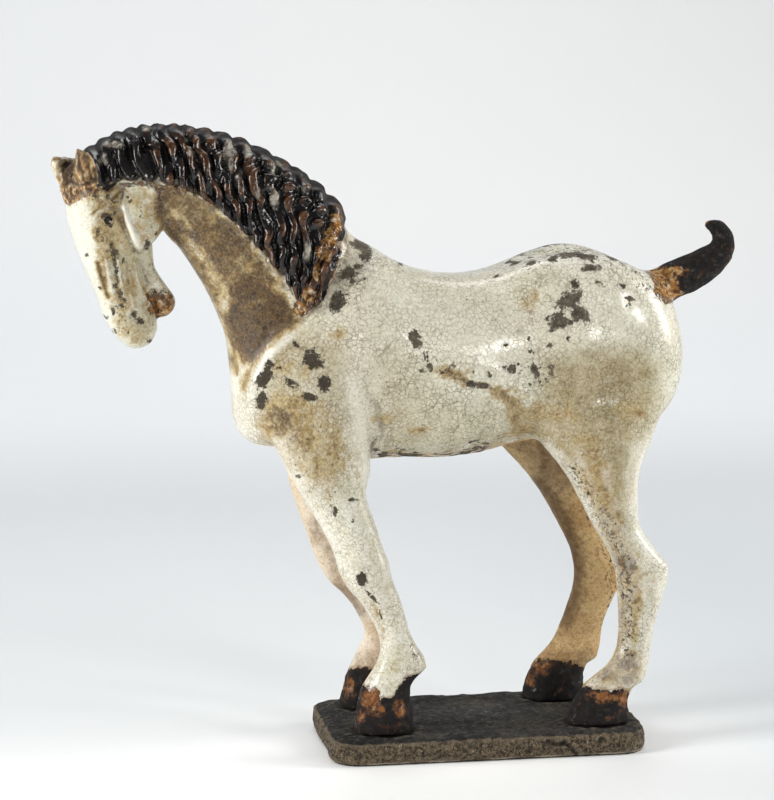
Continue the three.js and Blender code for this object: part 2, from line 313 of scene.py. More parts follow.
def turned_normals(normals, angle):
    pivot = np.array([HEAD_PIVOT, 0, 0])
    return turned(normals + pivot, angle) - pivot


class Places:
    """What the carving and the fields need to know about the horse's points.

    share is in hundredths of the horse's height from its soles, and local the same with the head
    turned straight. own_spots are the points' places in the picture, and spots those of their near
    twins. along, down and run are places on the mane, and mane is 1 on it. facing is 1 where the
    near twin faces the camera.
    """

    def __init__(self, points, normals):
        self.points = points
        self.normals = normals
        self.share = (points - [0, 0, SOLE]) / SHARE
        self.own_spots = picture(points)
        straight = turned(points, -HEAD_TURN)
        self.mane_spots()
        ear = smoothstep(inside(self.own_spots, NEAR_EAR), -1, 1) * (straight[:, 1] < -4)
        self.mane *= 1 - ear * (self.share[:, 0] < -55)
        straight_normals = turned_normals(normals, -HEAD_TURN)
        self.local = (straight - [0, 0, SOLE]) / SHARE
        depth = inside(self.local[:, [0, 2]], HEAD_OUTLINE)
        self.head = (depth > 0) & (self.mane < 0.5)
        self.body = ~self.head & (self.mane < 0.5)
        level = np.where(self.head, straight[:, 1], points[:, 1])
        self.far = level > 0
        side = np.where(self.far, -1.0, 1.0)[:, None]
        flip = np.concatenate([np.ones_like(side), side, np.ones_like(side)], 1)
        near_head = turned(straight * flip, HEAD_TURN)
        near = np.where(self.head[:, None], near_head, points * flip)
        near_head_normals = turned_normals(straight_normals * flip, HEAD_TURN)
        near_normals = np.where(self.head[:, None], near_head_normals, normals * flip)
        self.spots = picture(near)
        self.facing = near_normals @ BACK

    def mane_spots(self):
        """How far along the mane each point is, how far down it, and whether it is on it."""
        ways, spans = 81, 241
        spots = np.linspace(0, 1, spans)
        rows = catmull(MANE, spots)
        reach = 1.52
        way = np.linspace(-0.99, 0.99, ways)
        turn = way * reach
        down = 1 - np.cos(turn)
        lift = 1.85 - 0.5 * np.sqrt(np.abs(way))
        crest_x, crest_z, hem_x, hem_z, half = (rows[:, k][:, None] for k in range(5))
        slope = np.arctan2(crest_z - hem_z, crest_x - hem_x)
        grid = np.stack([
            crest_x + (hem_x - crest_x) * down + lift * np.cos(slope) * np.cos(turn),
            (half + lift) * np.sin(turn),
            crest_z + (hem_z - crest_z) * down + lift * np.sin(slope) * np.cos(turn),
        ], 2)
        self.along, self.down, self.run, self.mane = np.zeros((4, len(self.share)))
        chosen = np.flatnonzero((self.share[:, 2] > 66) & (self.share[:, 0] < -18))
        tree = KDTree(ways * spans)
        flat = grid.reshape(-1, 3)
        for k, spot in enumerate(flat):
            tree.insert(spot, k)
        tree.balance()
        found = np.array([tree.find(spot)[1] for spot in self.share[chosen]])
        span, step = found // ways, found % ways
        d_span = (grid[np.minimum(span + 1, spans - 1), step] - grid[np.maximum(span - 1, 0), step]) / 2
        d_step = (grid[span, np.minimum(step + 1, ways - 1)] - grid[span, np.maximum(step - 1, 0)]) / 2
        d_span *= np.where((span == 0) | (span == spans - 1), 2, 1)[:, None]
        d_step *= np.where((step == 0) | (step == ways - 1), 2, 1)[:, None]
        offset = self.share[chosen] - flat[found]
        aa, ab, bb = (d_span**2).sum(1), (d_span * d_step).sum(1), (d_step**2).sum(1)
        ra, rb = (d_span * offset).sum(1), (d_step * offset).sum(1)
        det = np.maximum(aa * bb - ab * ab, 1e-9)
        more_span = np.clip((ra * bb - rb * ab) / det, -8, 8)
        more_step = np.clip((rb * aa - ra * ab) / det, -8, 8)
        rest = offset - more_span[:, None] * d_span - more_step[:, None] * d_step
        along = (span + more_span) / (spans - 1)
        side = way[step] + more_step * (way[1] - way[0])
        away = np.linalg.norm(rest, axis=1)
        on = smoothstep(-np.abs(side), -1.05, -0.99) * smoothstep(-away, -2.0, -1.5)
        on *= smoothstep(along, -0.03, -0.01) * smoothstep(-along, -1.03, -1.005)
        length = 1.35 * SHARE * np.hypot(hem_x - crest_x, hem_z - crest_z)[:, 0]
        self.along[chosen] = along
        self.down[chosen] = np.abs(side)
        self.run[chosen] = np.abs(side) * length[span]
        self.mane[chosen] = on


# Carving

# Each stroke: millimetres up or down, half width in pixels, its path in the picture.
HEAD_STROKES = [
    (0.5, 3.4, [(93, 216), (101, 210.5), (112, 204)]),  # brow
    (-0.8, 3.0, [(100, 217), (107, 214), (116, 214)]),
    (-1.5, 5.5, [(108, 220)]),  # eye socket
    (0.25, 1.6, [(103, 225), (107, 227), (112, 226)]),  # lower lid
    (-0.9, 3.6, [(112, 228), (114, 240), (117, 252)]),
    (1.8, 3.0, [(122, 204), (126.5, 217), (132, 229), (138, 243), (140, 248)]),  # front of the cheek
    (-1.3, 2.4, [(116, 207), (120, 220), (125.5, 232), (131, 244), (134, 252)]),
    (-1.1, 3.2, [(99, 262), (102, 275), (106, 288), (109, 297)]),  # groove beside the nose
    (0.6, 1.6, [(105, 258), (109, 275), (113, 293)]),
    (0.7, 1.7, [(116, 254), (118.5, 268), (121, 282), (123, 296)]),  # cheekbone's line
    (-0.7, 2.2, [(112, 243), (114, 262), (117, 282), (119, 300)]),
    (-0.6, 2.4, [(127, 262), (128, 280), (131, 296)]),
    (0.9, 1.7, [(134, 262), (136.5, 279), (142, 291), (145, 297)]),  # back of the jaw
    (0.8, 1.5, [(128, 286), (131, 295), (134, 306)]),
    (0.9, 1.6, [(142, 296), (149, 303), (153, 313), (155, 325), (154, 334)]),  # lip
    (-1.6, 1.7, [(147, 294), (153.5, 302), (157.5, 312), (159, 322)]),  # mouth
    (-0.9, 2.4, [(134, 314)]),  # nostril
    (-1.1, 2.6, [(141, 321)]),
    (0.5, 2.6, [(126, 318), (131, 307), (141, 310), (147, 321)]),
    (-0.5, 1.2, [(113, 307), (114, 314)]),
    (0.9, 2.0, [(146, 291), (150, 286), (157, 285)]),
    (-0.9, 2.2, [(150, 292), (156, 290)]),
    (-1.3, 2.0, [(70, 179), (78, 183), (90, 184), (99, 178)]),  # foot of the ear
    (-0.8, 1.3, [(77, 152), (79, 165), (81, 178)]),
    (0.6, 1.3, [(83, 156), (85, 168), (88, 180)]),
    (-0.7, 1.3, [(90, 164), (92, 178)]),
    (0.8, 3.0, [(65, 190)]),  # curls of the forelock
    (0.8, 3.0, [(75, 194)]),
    (0.7, 3.0, [(88, 190)]),
    (-0.9, 1.6, [(70, 186), (70, 198)]),
    (-0.8, 1.6, [(81, 188), (80, 200)]),
]
# The cheek's raised plate, as an outline in the picture.
CHEEK = [
    (124, 187), (131, 182), (140, 180), (151, 183), (159, 193), (162, 208), (160, 223), (155.5, 236),
    (149, 247), (139, 252), (134, 244), (127, 226), (121, 206),
]
BODY_STROKES = [
    (0.8, 9.0, [(346, 320), (354, 360), (359, 400), (363, 440), (367, 475)]),  # back of the foreleg
    (-0.7, 7.0, [(376, 395), (382, 425), (385, 452)]),
    (-0.8, 5.0, [(306, 318), (288, 325), (270, 331), (256, 354), (246, 376), (240, 396)]),  # neck
    (0.5, 5.0, [(296, 336), (280, 346), (268, 362), (256, 384)]),
    (-0.6, 5.0, [(450, 376), (480, 384), (500, 391), (514, 404), (521, 420)]),
    (0.4, 9.0, [(440, 387), (470, 398), (494, 407), (504, 422)]),  # fold of the flank
    (0.5, 9.0, [(470, 366), (500, 371), (526, 386), (540, 408)]),
    (-1.1, 18.0, [(600, 385), (604, 402)]),  # hollow of the thigh
    (-0.8, 9.0, [(572, 362), (575, 392)]),
    (-0.9, 11.0, [(300, 392), (305, 420), (316, 450)]),
    (0.7, 6.0, [(345, 500), (356, 530), (366, 560), (372, 575)]),  # tendons of the foreleg
    (-0.7, 4.0, [(360, 590), (372, 602), (381, 622), (386, 640)]),
    (0.7, 3.6, [(392, 590), (400, 620), (408, 648)]),
    (-0.6, 4.0, [(640, 590), (636, 620), (632, 650)]),  # and of the hind leg
    (0.6, 4.0, [(650, 600), (648, 625), (642, 650)]),
    (-0.9, 5.0, [(632, 540), (642, 555), (650, 562)]),
    (0.9, 4.0, [(662, 560), (667, 570)]),
    (1.1, 4.0, [(424, 664), (427, 669)]),  # spurs behind the fetlocks
    (1.1, 3.5, [(637, 676), (643, 679)]),
]
# The belly's chipped edge.
BELLY_CHIPS = [(382, 456), (396, 458), (410, 456), (425, 461), (442, 461), (460, 456), (482, 449)]
# Patches where the glaze is off: middle, half width and half height in pixels, and lean in degrees.
PATCHES = [
    (361, 246, 11, 6, 30), (366, 254, 6, 9, 0), (347, 273, 9, 7, -25), (358, 267, 5, 5, 0),
    (337, 302, 8.5, 10.5, 30), (352, 281, 3.5, 3, 0), (312, 361, 10.5, 9.5, 0), (295, 343, 3, 5, -30),
    (268, 370, 6, 10, 10), (262, 381, 9, 6, -10), (291, 384, 9, 4.5, 35), (324, 384, 7, 9, 20),
    (312, 397, 9, 4, 10), (262, 401, 6.5, 8.5, 10), (282, 369, 3, 3, 0), (414, 336, 5.5, 8, 0),
    (417, 345, 5, 4, 0), (426, 357, 2.5, 6, -10), (430, 367, 3.6, 6, -10), (422, 371, 5, 2.4, 0),
    (449, 369, 2.2, 5.5, 12), (455, 366, 2, 4, -12), (443, 373, 4, 2.6, 0), (472, 384, 6, 3.6, 0),
    (484, 386, 6, 3, 8), (474, 371, 2.4, 3, 0), (489, 374, 2.4, 4, -25), (512, 369, 5, 4, 0),
    (504, 367, 2.4, 1.6, 0), (518, 364, 2.2, 2.2, 0), (533, 368, 2.8, 6, 12), (537, 373, 2.4, 8, -6),
    (547, 368, 3.4, 1.8, 20), (552, 373, 1.6, 2.6, 0), (524, 378, 3, 1.8, 0), (529, 384, 2, 2, 0),
    (532, 390, 1.7, 1.7, 0), (529, 339, 2, 3, 0), (531, 351, 2.6, 4, 0), (506, 345, 3, 2, 0),
    (568, 300, 14, 8, -25), (559, 322, 12, 9, -10), (578, 312, 7, 9, 0), (587, 318, 4, 7, 0),
    (576, 284, 5, 5, 0), (569, 338, 4, 3, -30), (550, 345, 3, 2, 0), (552, 367, 3, 4, 0),
    (362, 579, 5.5, 6.5, -10), (372, 597, 1.9, 9, -42), (381, 615, 1.5, 7, -12),
    (335, 510, 2.6, 6, -10), (353, 500, 5, 2.2, 0), (299, 476, 3.6, 2.6, -20), (567, 254, 14, 4, -3),
    (585, 256, 12, 3.5, 5), (553, 259, 6, 3, -15), (590, 268, 12, 3.5, 0), (612, 258, 8, 2.5, 20),
    (532, 263, 5, 2.5, -20), (641, 679, 5, 2.6, -10), (600, 283, 6, 2.5, 20), (620, 286, 6, 3, 20),
    (629, 299, 5, 4, 0), (628, 306, 3, 3, 0), (516, 263, 6, 1.6, -28), (497, 276, 6, 2, -15),
    (371, 233, 4, 3, 0), (400, 265, 3, 2, 0),
]
HEAD_PATCHES = [
    (147, 245, 3.2, 5.5, 15), (111, 245, 2.2, 4, 0), (114, 252.5, 3.6, 4.4, -10),
    (115.5, 261, 1.6, 4, 0), (117, 270, 2, 5, -5), (118.5, 279, 1.3, 3, 0), (115.5, 286, 2.8, 2.2, 20),
    (120.5, 293, 2, 4.6, 0), (124, 300, 2, 3, -20), (122, 306, 2.8, 1.8, 10), (106, 216, 4.4, 3.2, -20),
    (109.5, 225, 4, 2, 10), (113, 310, 2, 5, -14), (107, 317.5, 2, 2, 0), (134, 314.5, 3.6, 3.6, 0),
    (141, 321.5, 4.0, 4.0, 0), (149.5, 341, 3, 2.2, -20), (67, 228, 1.5, 3, 0), (78, 254, 1.6, 1.6, 0),
    (86.5, 255, 2, 1.5, 0), (115, 331, 1.6, 3, -30), (88, 287, 1.4, 3.4, -15),
    (128.5, 333, 1.5, 1.5, 0), (123, 260, 2, 3, 0), (96, 195, 2.5, 3, 0), (108, 197, 3.2, 3, 0),
    (98, 232, 2, 4, 10), (102, 240, 2, 3, 0), (131, 202, 2, 2, 0), (128, 197, 1.5, 1.5, 0),
    (115, 213, 1.6, 2, 0), (156, 234, 1.5, 2.5, 15), (100, 288, 2, 2, 0),
]


def patch_field(spots, patches):
    """1 in the middle of the nearest patch, 0 at its rim, and less outside."""
    field = np.full(len(spots), -3.0)
    for x, y, wide, high, lean in patches:
        near = np.flatnonzero(np.abs(spots - [x, y]).max(1) < 4 * max(wide, high))
        dx, dy = (spots[near] - [x, y]).T
        angle = math.radians(lean)
        across = (dx * math.cos(angle) + dy * math.sin(angle)) / wide
        up = (dy * math.cos(angle) - dx * math.sin(angle)) / high
        field[near] = np.maximum(field[near], 1 - np.hypot(across, up))
    return field


def strokes(places, rows, chosen):
    """How far a set of strokes lifts or sinks the chosen points."""
    lifted = np.zeros(len(places.points))
    for lift, width, path in rows:
        low, high = np.min(path, axis=0) - 4 * width, np.max(path, axis=0) + 4 * width
        spots = places.spots
        near = np.flatnonzero(chosen & (spots > low).all(1) & (spots < high).all(1) & (places.facing > 0))
        away, along = from_path(spots[near], path)
        ends = 1 if len(path) == 1 else 0.35 + 0.65 * np.sin(np.pi * along) ** 0.5
        shown = smoothstep(places.facing[near], 0.05, 0.35)
        lifted[near] += lift * bell(away, width) * ends * shown
    return lifted


def lock_spots(places):
    """The number of the lock of hair that each point is on, and how far across it, 0 to 1."""
    grown = smoothstep(places.down, 0.0, 0.25)
    sway = 0.12 * np.sin(places.run / 6.5) + 0.15 * noise(places.points, 15, 5)
    locks = places.along * LOCKS + sway * grown
    number = np.floor(locks).astype(np.int64)
    return number, locks - number


def hair(places):
    """Relief of the mane: each lock a rope parted by grooves, with waves and strands along it."""
    number, part = lock_spots(places)
    shift = hashed(number, number * 0, number * 0, 7)
    groove = bell(np.minimum(part, 1 - part), 0.13)
    beat = places.run / LUMP + 1.3 * shift + 0.9 * (part - 0.5) + 0.3 * noise(places.points, 12, 8)
    wave = np.sin(2 * np.pi * beat)
    wave = np.sign(wave) * np.abs(wave) ** 0.8
    lean = part + 0.2 * np.sin(2 * np.pi * (places.run / 23 + shift))
    strand = np.abs(np.sin(np.pi * (2 * lean + shift)))
    relief = 0.4 + 1.3 * wave - 2.1 * groove + 0.15 * (strand - 0.5) * (1 - groove)
    relief *= 0.3 + 0.7 * smoothstep(places.down, 0.05, 0.4)
    relief *= 0.5 + 0.5 * smoothstep(places.along, 0.08, 0.25)
    return places.mane * (relief - 1.2 * (1 - lock_ends(places, part)))


def lock_ends(places, part):
    """1 on the locks, 0 below their rounded ends at the hem."""
    ends = 0.975 + 0.05 * (1 - (2 * part - 1) ** 2)
    return 1 - smoothstep(places.down - ends, -0.01, 0.02)


# The ears' hollows, in the head's own straight frame: root, tip, half width, and depth in mm.
EARS = [
    ([-65.0, -3.6, 90.0], [-66.9, -4.6, 96.4], 0.9, 1.4),
    ([-65.4, 3.6, 89.4], [-66.4, 4.6, 94.8], 1.5, 1.8),
]


def hollows(places):
    """How far the ears' hollows sink."""
    local = places.local
    lifted = np.zeros(len(local))
    for root, tip, width, deep in EARS:
        root, tip = np.array(root), np.array(tip)
        length = np.linalg.norm(tip - root)
        axis = (tip - root) / length
        offset = local - root
        up = offset @ axis
        out = offset[:, 0] - up * axis[0]
        ear = places.head & (local[:, 2] > 88.8) & (up > -1) & (local[:, 1] * root[1] > 0)
        ear &= np.abs(local[:, 1]) > 1.6
        open_side = smoothstep(-0.6 * places.normals[:, 0] - 0.8 * places.normals[:, 1], 0.1, 0.6)
        dish = bell(out, width) * smoothstep(up, -0.8, 0.9)
        dish *= smoothstep(-up, -length - 0.3, -length + 1.3)
        lifted[ear] -= (deep * dish * open_side)[ear]
    return lifted


# The eye and the glint painted in it as a pale spot, in the picture.
EYE_SPOT = (108.3, 220.3)
GLINT_SPOT = (110.4, 221.6)


def eyeballs(places):
    away = np.hypot(*(places.spots - EYE_SPOT).T)
    ball = np.sqrt(np.clip(1 - (away / 5.2) ** 2, 0, 1))
    return np.where(places.head & (places.facing > 0), 1.9 * ball, 0)


def carved(places):
    """The horse's points moved along their normals by all that is carved on it."""
    points, head, body = places.points, places.head, places.body
    lifted = strokes(places, HEAD_STROKES, head)
    lifted += strokes(places, BODY_STROKES, body & (places.share[:, 2] < 92))
    plate = smoothstep(inside(places.spots, CHEEK), -1.8, 2.6)
    plate *= 1 - 0.6 * smoothstep(places.spots[:, 1], 236, 250)
    lifted += np.where(head & (places.facing > 0), 1.3 * plate, 0)
    lifted += eyeballs(places)
    lifted += hollows(places)
    lifted += hair(places)
    off = np.where(head, patch_field(places.spots, HEAD_PATCHES), patch_field(places.spots, PATCHES))
    off += 0.25 * noise(points, 2.5, 31)
    shown = (places.facing > 0.1) & (places.mane < 0.3) & ~(places.far & body)
    lifted -= np.where(shown, 0.3 * smoothstep(off, -0.05, 0.2), 0)
    belly = from_path(places.spots, BELLY_CHIPS)[0]
    rough = bell(belly, 7) * body
    lifted += rough * (0.9 * noise(points * [0.35, 1, 1], 3.0, 41) - 0.3)
    lifted += body * (0.22 * noise(points, 14, 51) + 0.12 * noise(points, 6, 52))
    tail = (places.share[:, 0] > 31.5) & (places.share[:, 2] > 68)
    lifted += tail * 0.35 * noise(points * [0.5, 1, 1], 3.2, 61)
    x, y, z = places.local.T
    tuft = head & (x < -64.6) & (z > 86.4) & (np.abs(y) < 3.6)
    lifted += tuft * 0.6 * noise(points * [1, 1, 0.5], 3.2, 71)
    low = smoothstep(-places.share[:, 2], -6.5, -5.0)
    lifted += low * (0.45 * noise(points, 3.0, 81) + 0.6 * noise(points, 6.5, 82))
    return points + places.normals * lifted[:, None]


def softened(points, mean, places):
    """Rounds the solid's flat facets and its joins: much on the trunk, little on hair and hooves."""
    height = places.share[:, 2]
    soft = 0.12 + 0.88 * smoothstep(height, 44, 52)
    soft = np.where(height < 7, 0.05, soft)
    soft = np.where(places.head, 0.10, soft)
    soft = np.where(places.mane > 0.02, 0.05, soft)
    soft = np.where((places.share[:, 0] > 31) & (height > 68), 0.08, soft)
    soft = spread(soft, mean, 6)
    rounds = int(110 / HORSE_GRAIN**2)
    for _ in range(rounds):
        points = points + 0.9 * soft[:, None] * (mean(points) - points)
    return points


def thinned(points, quads, keep):
    """The mesh as triangles, fewer where it is smooth, more where `keep` is high."""
    work = placed("thinning", mesh_of("thinning", points, quads))
    group = work.vertex_groups.new(name="keep")
    for level in range(1, 5):
        chosen = np.flatnonzero(np.round(keep * 4) == level)
        group.add(chosen.tolist(), level / 4, "REPLACE")
    cut = work.modifiers.new("decimate", "DECIMATE")
    cut.ratio = min(1.0, MOST_FACES / (2 * len(quads)))
    cut.vertex_group = "keep"
    cut.invert_vertex_group = True
    cut.vertex_group_factor = 0.6
    cut.use_collapse_triangulate = True
    made = modified(work)
    made.calc_loop_triangles()
    points = read(made.vertices, "co", float, 3) * 1000
    faces = read(made.loop_triangles, "vertices", np.int64, 3)
    bpy.data.meshes.remove(made)
    return points, faces


# Fields for the materials

# How high the hooves' glaze may reach, in hundredths of the horse's height.
HOOF_REACH = 14
# Where dark glaze begins on each leg, as picture points from left to right.
HOOF_TOPS = {
    "near fore": [
        (350, 686), (361, 683), (368, 690), (379, 699), (390, 698), (395, 695),
        (401, 685), (406, 677), (418, 675),
        (430, 669),
    ],
    "far fore": [(330, 672), (352, 668), (372, 669), (388, 672)],
    "near hind": [
        (578, 690), (584, 686), (593, 689), (611, 691), (624, 689), (630, 694), (637, 687), (650, 684),
    ],
    "far hind": [(520, 681), (526, 673), (539, 659), (550, 660), (571, 662), (582, 667), (592, 671)],
}
# Amber, as blobs in the picture: middle, half width, half height, strength.
AMBER = [
    (370, 698, 9, 12, 0.85), (378, 711, 9, 6, 0.66), (360, 716, 6, 9, 0.55), (400, 708, 7, 9, 0.7),
    (348, 686, 6, 12, 0.62), (608, 697, 19, 6.5, 0.74), (590, 695, 6, 6, 0.6), (624, 700, 6, 9, 0.75),
    (541, 667, 12, 8, 0.74), (531, 678, 6, 9, 0.74), (667, 285, 12, 16, 1.0), (660, 274, 14, 8, 1.0),
    (676, 272, 12, 7, 0.8), (675, 294, 8, 8, 0.9), (706, 223, 3, 4, 0.9), (336, 222, 6, 12, 1.0),
    (330, 238, 8, 10, 1.0), (324, 254, 7, 9, 1.0), (317, 272, 5, 12, 0.8), (309, 296, 7, 13, 0.9),
    (300, 308, 6, 8, 1.0), (164, 187, 14, 5, 0.5), (182, 190, 8, 6, 0.5), (268, 190, 12, 8, 0.25),
    (255, 200, 10, 6, 0.3), (70, 190, 7, 7, 0.55), (66, 199, 5, 7, 0.6), (88, 187, 10, 4, 0.8),
    (94, 192, 5, 5, 0.5), (161, 304, 14, 14, 0.78), (128, 185, 12, 3, 0.4), (148, 184, 20, 3, 0.5),
]
# Brown stains, as blobs too.
STAINS = [
    (190, 222, 22, 14, 0.95), (215, 240, 24, 22, 1.0), (235, 270, 24, 26, 1.0), (256, 300, 26, 24, 1.0),
    (245, 330, 26, 22, 0.9), (238, 352, 12, 20, 0.8), (168, 205, 10, 14, 0.9), (280, 420, 26, 24, 0.74),
    (300, 445, 26, 26, 0.66), (312, 370, 16, 12, 0.35), (290, 366, 18, 10, 0.4), (455, 372, 26, 7, 0.4),
    (500, 392, 18, 9, 0.45), (518, 418, 14, 22, 0.7), (552, 412, 26, 12, 0.55),
    (628, 410, 16, 12, 0.35), (640, 412, 7, 6, 0.8), (604, 505, 10, 12, 0.6), (596, 480, 10, 20, 0.35),
    (385, 419, 14, 5, 0.6), (420, 431, 12, 4, 0.55), (337, 333, 10, 8, 0.4), (530, 290, 20, 24, 0.25),
    (570, 410, 20, 14, 0.4), (119, 218, 6, 8, 0.8), (116, 236, 6, 18, 0.6), (106, 205, 16, 9, 0.7),
    (119, 280, 8, 44, 0.4), (104, 279, 4, 17, 0.9), (133, 312, 14, 12, 0.3), (152, 272, 12, 12, 0.12),
    (163, 305, 12, 13, 0.95), (96, 200, 14, 10, 0.5), (430, 660, 8, 10, 0.5), (645, 585, 10, 16, 0.3),
    (620, 620, 8, 30, 0.2), (350, 470, 30, 40, 0.18), (86, 168, 12, 20, 0.85), (66, 190, 12, 14, 0.6),
    (54, 166, 4, 14, 0.45), (135, 325, 20, 18, 0.4), (106, 188, 10, 6, 1.0), (185, 208, 12, 8, 1.0),
]
# Broad brown washes: strength, softness in pixels, outline.
WASHES = [
    (1.0, 6, [
        (156, 188), (176, 188), (208, 199), (231, 218), (267, 256), (290, 296),
        (306, 322), (284, 337), (266, 352),
        (253, 368), (242, 366), (230, 346), (218, 325), (203, 298), (184, 268), (166, 246), (152, 224),
    ]),
    (0.5, 14, [(575, 440), (600, 436), (622, 490), (630, 545), (606, 540), (588, 500)]),
    (1.5, 10, [
        (224, 292), (258, 266), (284, 296), (300, 320), (272, 344), (252, 364), (238, 352), (224, 322),
    ]),
    (0.72, 6, [
        (582, 480), (608, 480), (622, 512), (630, 540), (640, 562), (639, 600),
        (632, 640), (610, 668), (598, 672),
        (616, 640), (617, 600), (612, 565), (598, 530),
    ]),
    (0.55, 14, [
        (262, 402), (280, 386), (330, 398), (342, 430), (345, 480), (330, 500), (298, 470), (275, 432),
    ]),
    (0.5, 5, [
        (98, 206), (119, 206), (130, 236), (139, 258), (138, 290), (128, 330), (112, 322),
        (106, 290), (98, 262), (92, 226),
    ]),
    (0.4, 6, [(122, 188), (150, 186), (160, 206), (154, 240), (140, 246), (130, 220)]),
    (0.36, 8, [(112, 300), (150, 300), (156, 335), (140, 348), (120, 340)]),
    (0.72, 8, [(590, 676), (606, 660), (620, 646), (640, 650), (646, 684), (620, 692), (596, 690)]),
    (0.3, 7, [(374, 660), (420, 650), (424, 678), (400, 690), (372, 684)]),
]
# The same for a thin even tan, partly real and partly painted shade on the shoulder, the belly and the lower
# haunch.
TANS_AND_SHADE = [
    (1.0, 18, [
        (545, 362), (600, 350), (640, 350), (662, 368), (658, 410), (645, 448),
        (630, 510), (600, 510), (562, 462),
        (516, 446), (506, 424), (535, 404),
    ]),
    (1.0, 14, [(560, 420), (630, 420), (624, 500), (632, 540), (634, 566), (610, 550), (586, 490)]),
    (0.5, 14, [(388, 398), (500, 404), (520, 445), (386, 455)]),
    # Painted shade on the lamp-lit ridge beside the shoulder's crease.
    (0.9, 5, [(304, 330), (280, 344), (264, 362), (250, 392), (262, 394), (278, 368), (298, 348)]),
    (0.5, 8, [(632, 560), (664, 560), (660, 600), (648, 640), (648, 684), (600, 690), (620, 640)]),
    (0.45, 6, [(402, 630), (424, 650), (426, 672), (404, 676), (396, 650)]),
    (0.35, 20, [(380, 360), (455, 385), (480, 430), (400, 440), (376, 400)]),
    (0.4, 14, [(276, 400), (340, 400), (345, 500), (310, 500), (280, 440)]),
    (0.55, 16, [(262, 352), (300, 336), (345, 345), (350, 420), (300, 430), (250, 410)]),
    (0.3, 16, [(350, 560), (380, 560), (424, 660), (392, 665), (370, 600)]),
    (0.4, 8, [(95, 200), (160, 186), (160, 240), (172, 290), (150, 345), (116, 330), (100, 280)]),
]
# Brown lines, and a painted shadow down the near hind leg: strength, half width in pixels, path. The streaks
# below are given the same way.
STAIN_AND_SHADE_LINES = [
    (1.1, 3.4, [(98, 263), (101, 275), (105, 288), (108, 297)]),
    (0.55, 5.0, [(108, 234), (112, 244), (115, 258), (117, 272), (119, 290), (121, 305), (122, 322)]),
    (1.1, 1.8, [(147, 294), (153.5, 302), (157.5, 312), (159, 322)]),
    (0.4, 2.6, [(116, 208), (120, 221), (125, 233), (130.5, 245), (134, 254)]),
    (0.9, 2.4, [(160, 204), (161.5, 222), (156, 240)]),
    (0.35, 3.0, [(136, 262), (139, 278), (144, 292)]),
    (0.8, 2.4, [(92, 214), (101, 207), (113, 199), (124, 189)]),
    (0.5, 3.0, [(103, 226), (109, 228), (114, 224)]),
    (0.6, 3.0, [(126, 262), (129, 280), (132, 296)]),
    (0.5, 5.0, [(306, 318), (288, 325), (270, 332), (254, 356), (243, 382)]),
    (0.6, 6.0, [(446, 373), (462, 380), (484, 386), (500, 394), (511, 404), (518, 420)]),
    (0.7, 4.0, [(270, 346), (258, 358), (249, 372), (243, 388)]),
    (0.6, 7.0, [(612, 520), (620, 545), (634, 566), (638, 600), (636, 640)]),
    (0.5, 4.0, [(344, 580), (360, 594), (374, 612), (384, 640)]),
    # A painted shadow along the near hind leg's left edge.
    (0.95, 4.0, [(619, 634), (615, 652), (602, 668)]),
    (0.6, 4.0, [(386, 452), (420, 455), (460, 452), (500, 444)]),
]
# Pale streaks through the brown of the neck; those down the throat's front edge are painted highlights.
PALE_AND_SHEEN_STREAKS = [
    (0.6, 2.0, [(214, 208), (232, 222), (262, 256), (286, 294), (298, 316)]),
    # A painted highlight along the throat's front edge.
    (0.45, 5.0, [(188, 240), (206, 262), (222, 290), (226, 306)]),
    (0.4, 5.0, [(240, 262), (256, 278), (276, 290)]),
    (0.35, 4.0, [(226, 296), (246, 306), (262, 300)]),
    (0.4, 5.0, [(176, 214), (192, 226)]),
    # A painted highlight along the throat's front edge.
    (0.4, 4.0, [(158, 226), (180, 252), (202, 286), (222, 326)]),
]
# Painted highlights and sheen on the body, the same way.
SHEEN_LINES = [
    (0.7, 9, [(350, 380), (358, 420), (362, 470)]),
    (0.8, 10, [(640, 450), (640, 500), (648, 545)]),
    (0.5, 22, [(600, 300), (650, 318)]),
    (0.8, 4, [(292, 336), (272, 352), (256, 376), (250, 396)]),
    (0.5, 26, [(400, 300), (470, 325), (500, 350)]),
    (0.5, 10, [(236, 360), (238, 400), (250, 430)]),
]
# Where small dark specks gather: strength, reach in pixels, path.
SPECKS = [
    (0.9, 16, [(520, 262), (570, 252), (630, 268), (655, 290)]),
    (0.8, 12, [(340, 260), (356, 300), (366, 240)]),
    (0.75, 12, [(425, 345), (440, 368), (468, 378)]),
    (1.0, 9, [(503, 366), (518, 370), (532, 362), (540, 384), (552, 372)]),
    (0.9, 7, [(426, 352), (430, 370), (444, 372), (456, 365)]),
    (0.7, 12, [(556, 400), (580, 396)]),
    (0.9, 15, [(575, 470), (592, 500), (606, 525), (622, 555), (630, 600), (626, 650)]),
    (0.7, 10, [(340, 480), (330, 510), (350, 520)]),
    (0.8, 9, [(408, 640), (420, 665)]),
    (0.7, 10, [(300, 470), (290, 440)]),
]
# The same on the head.
HEAD_SPECKS = [
    (0.8, 12, [(112, 240), (121, 330)]),
    (0.9, 8, [(92, 196), (112, 202)]),
    (0.6, 8, [(128, 262), (132, 296)]),
    (0.5, 6, [(66, 188), (70, 204)]),
]


def washes(spots, rows):
    field = np.zeros(len(spots))
    for strength, soft, outline in rows:
        field = np.maximum(field, strength * smoothstep(inside(spots, outline), -soft, soft))
    return field


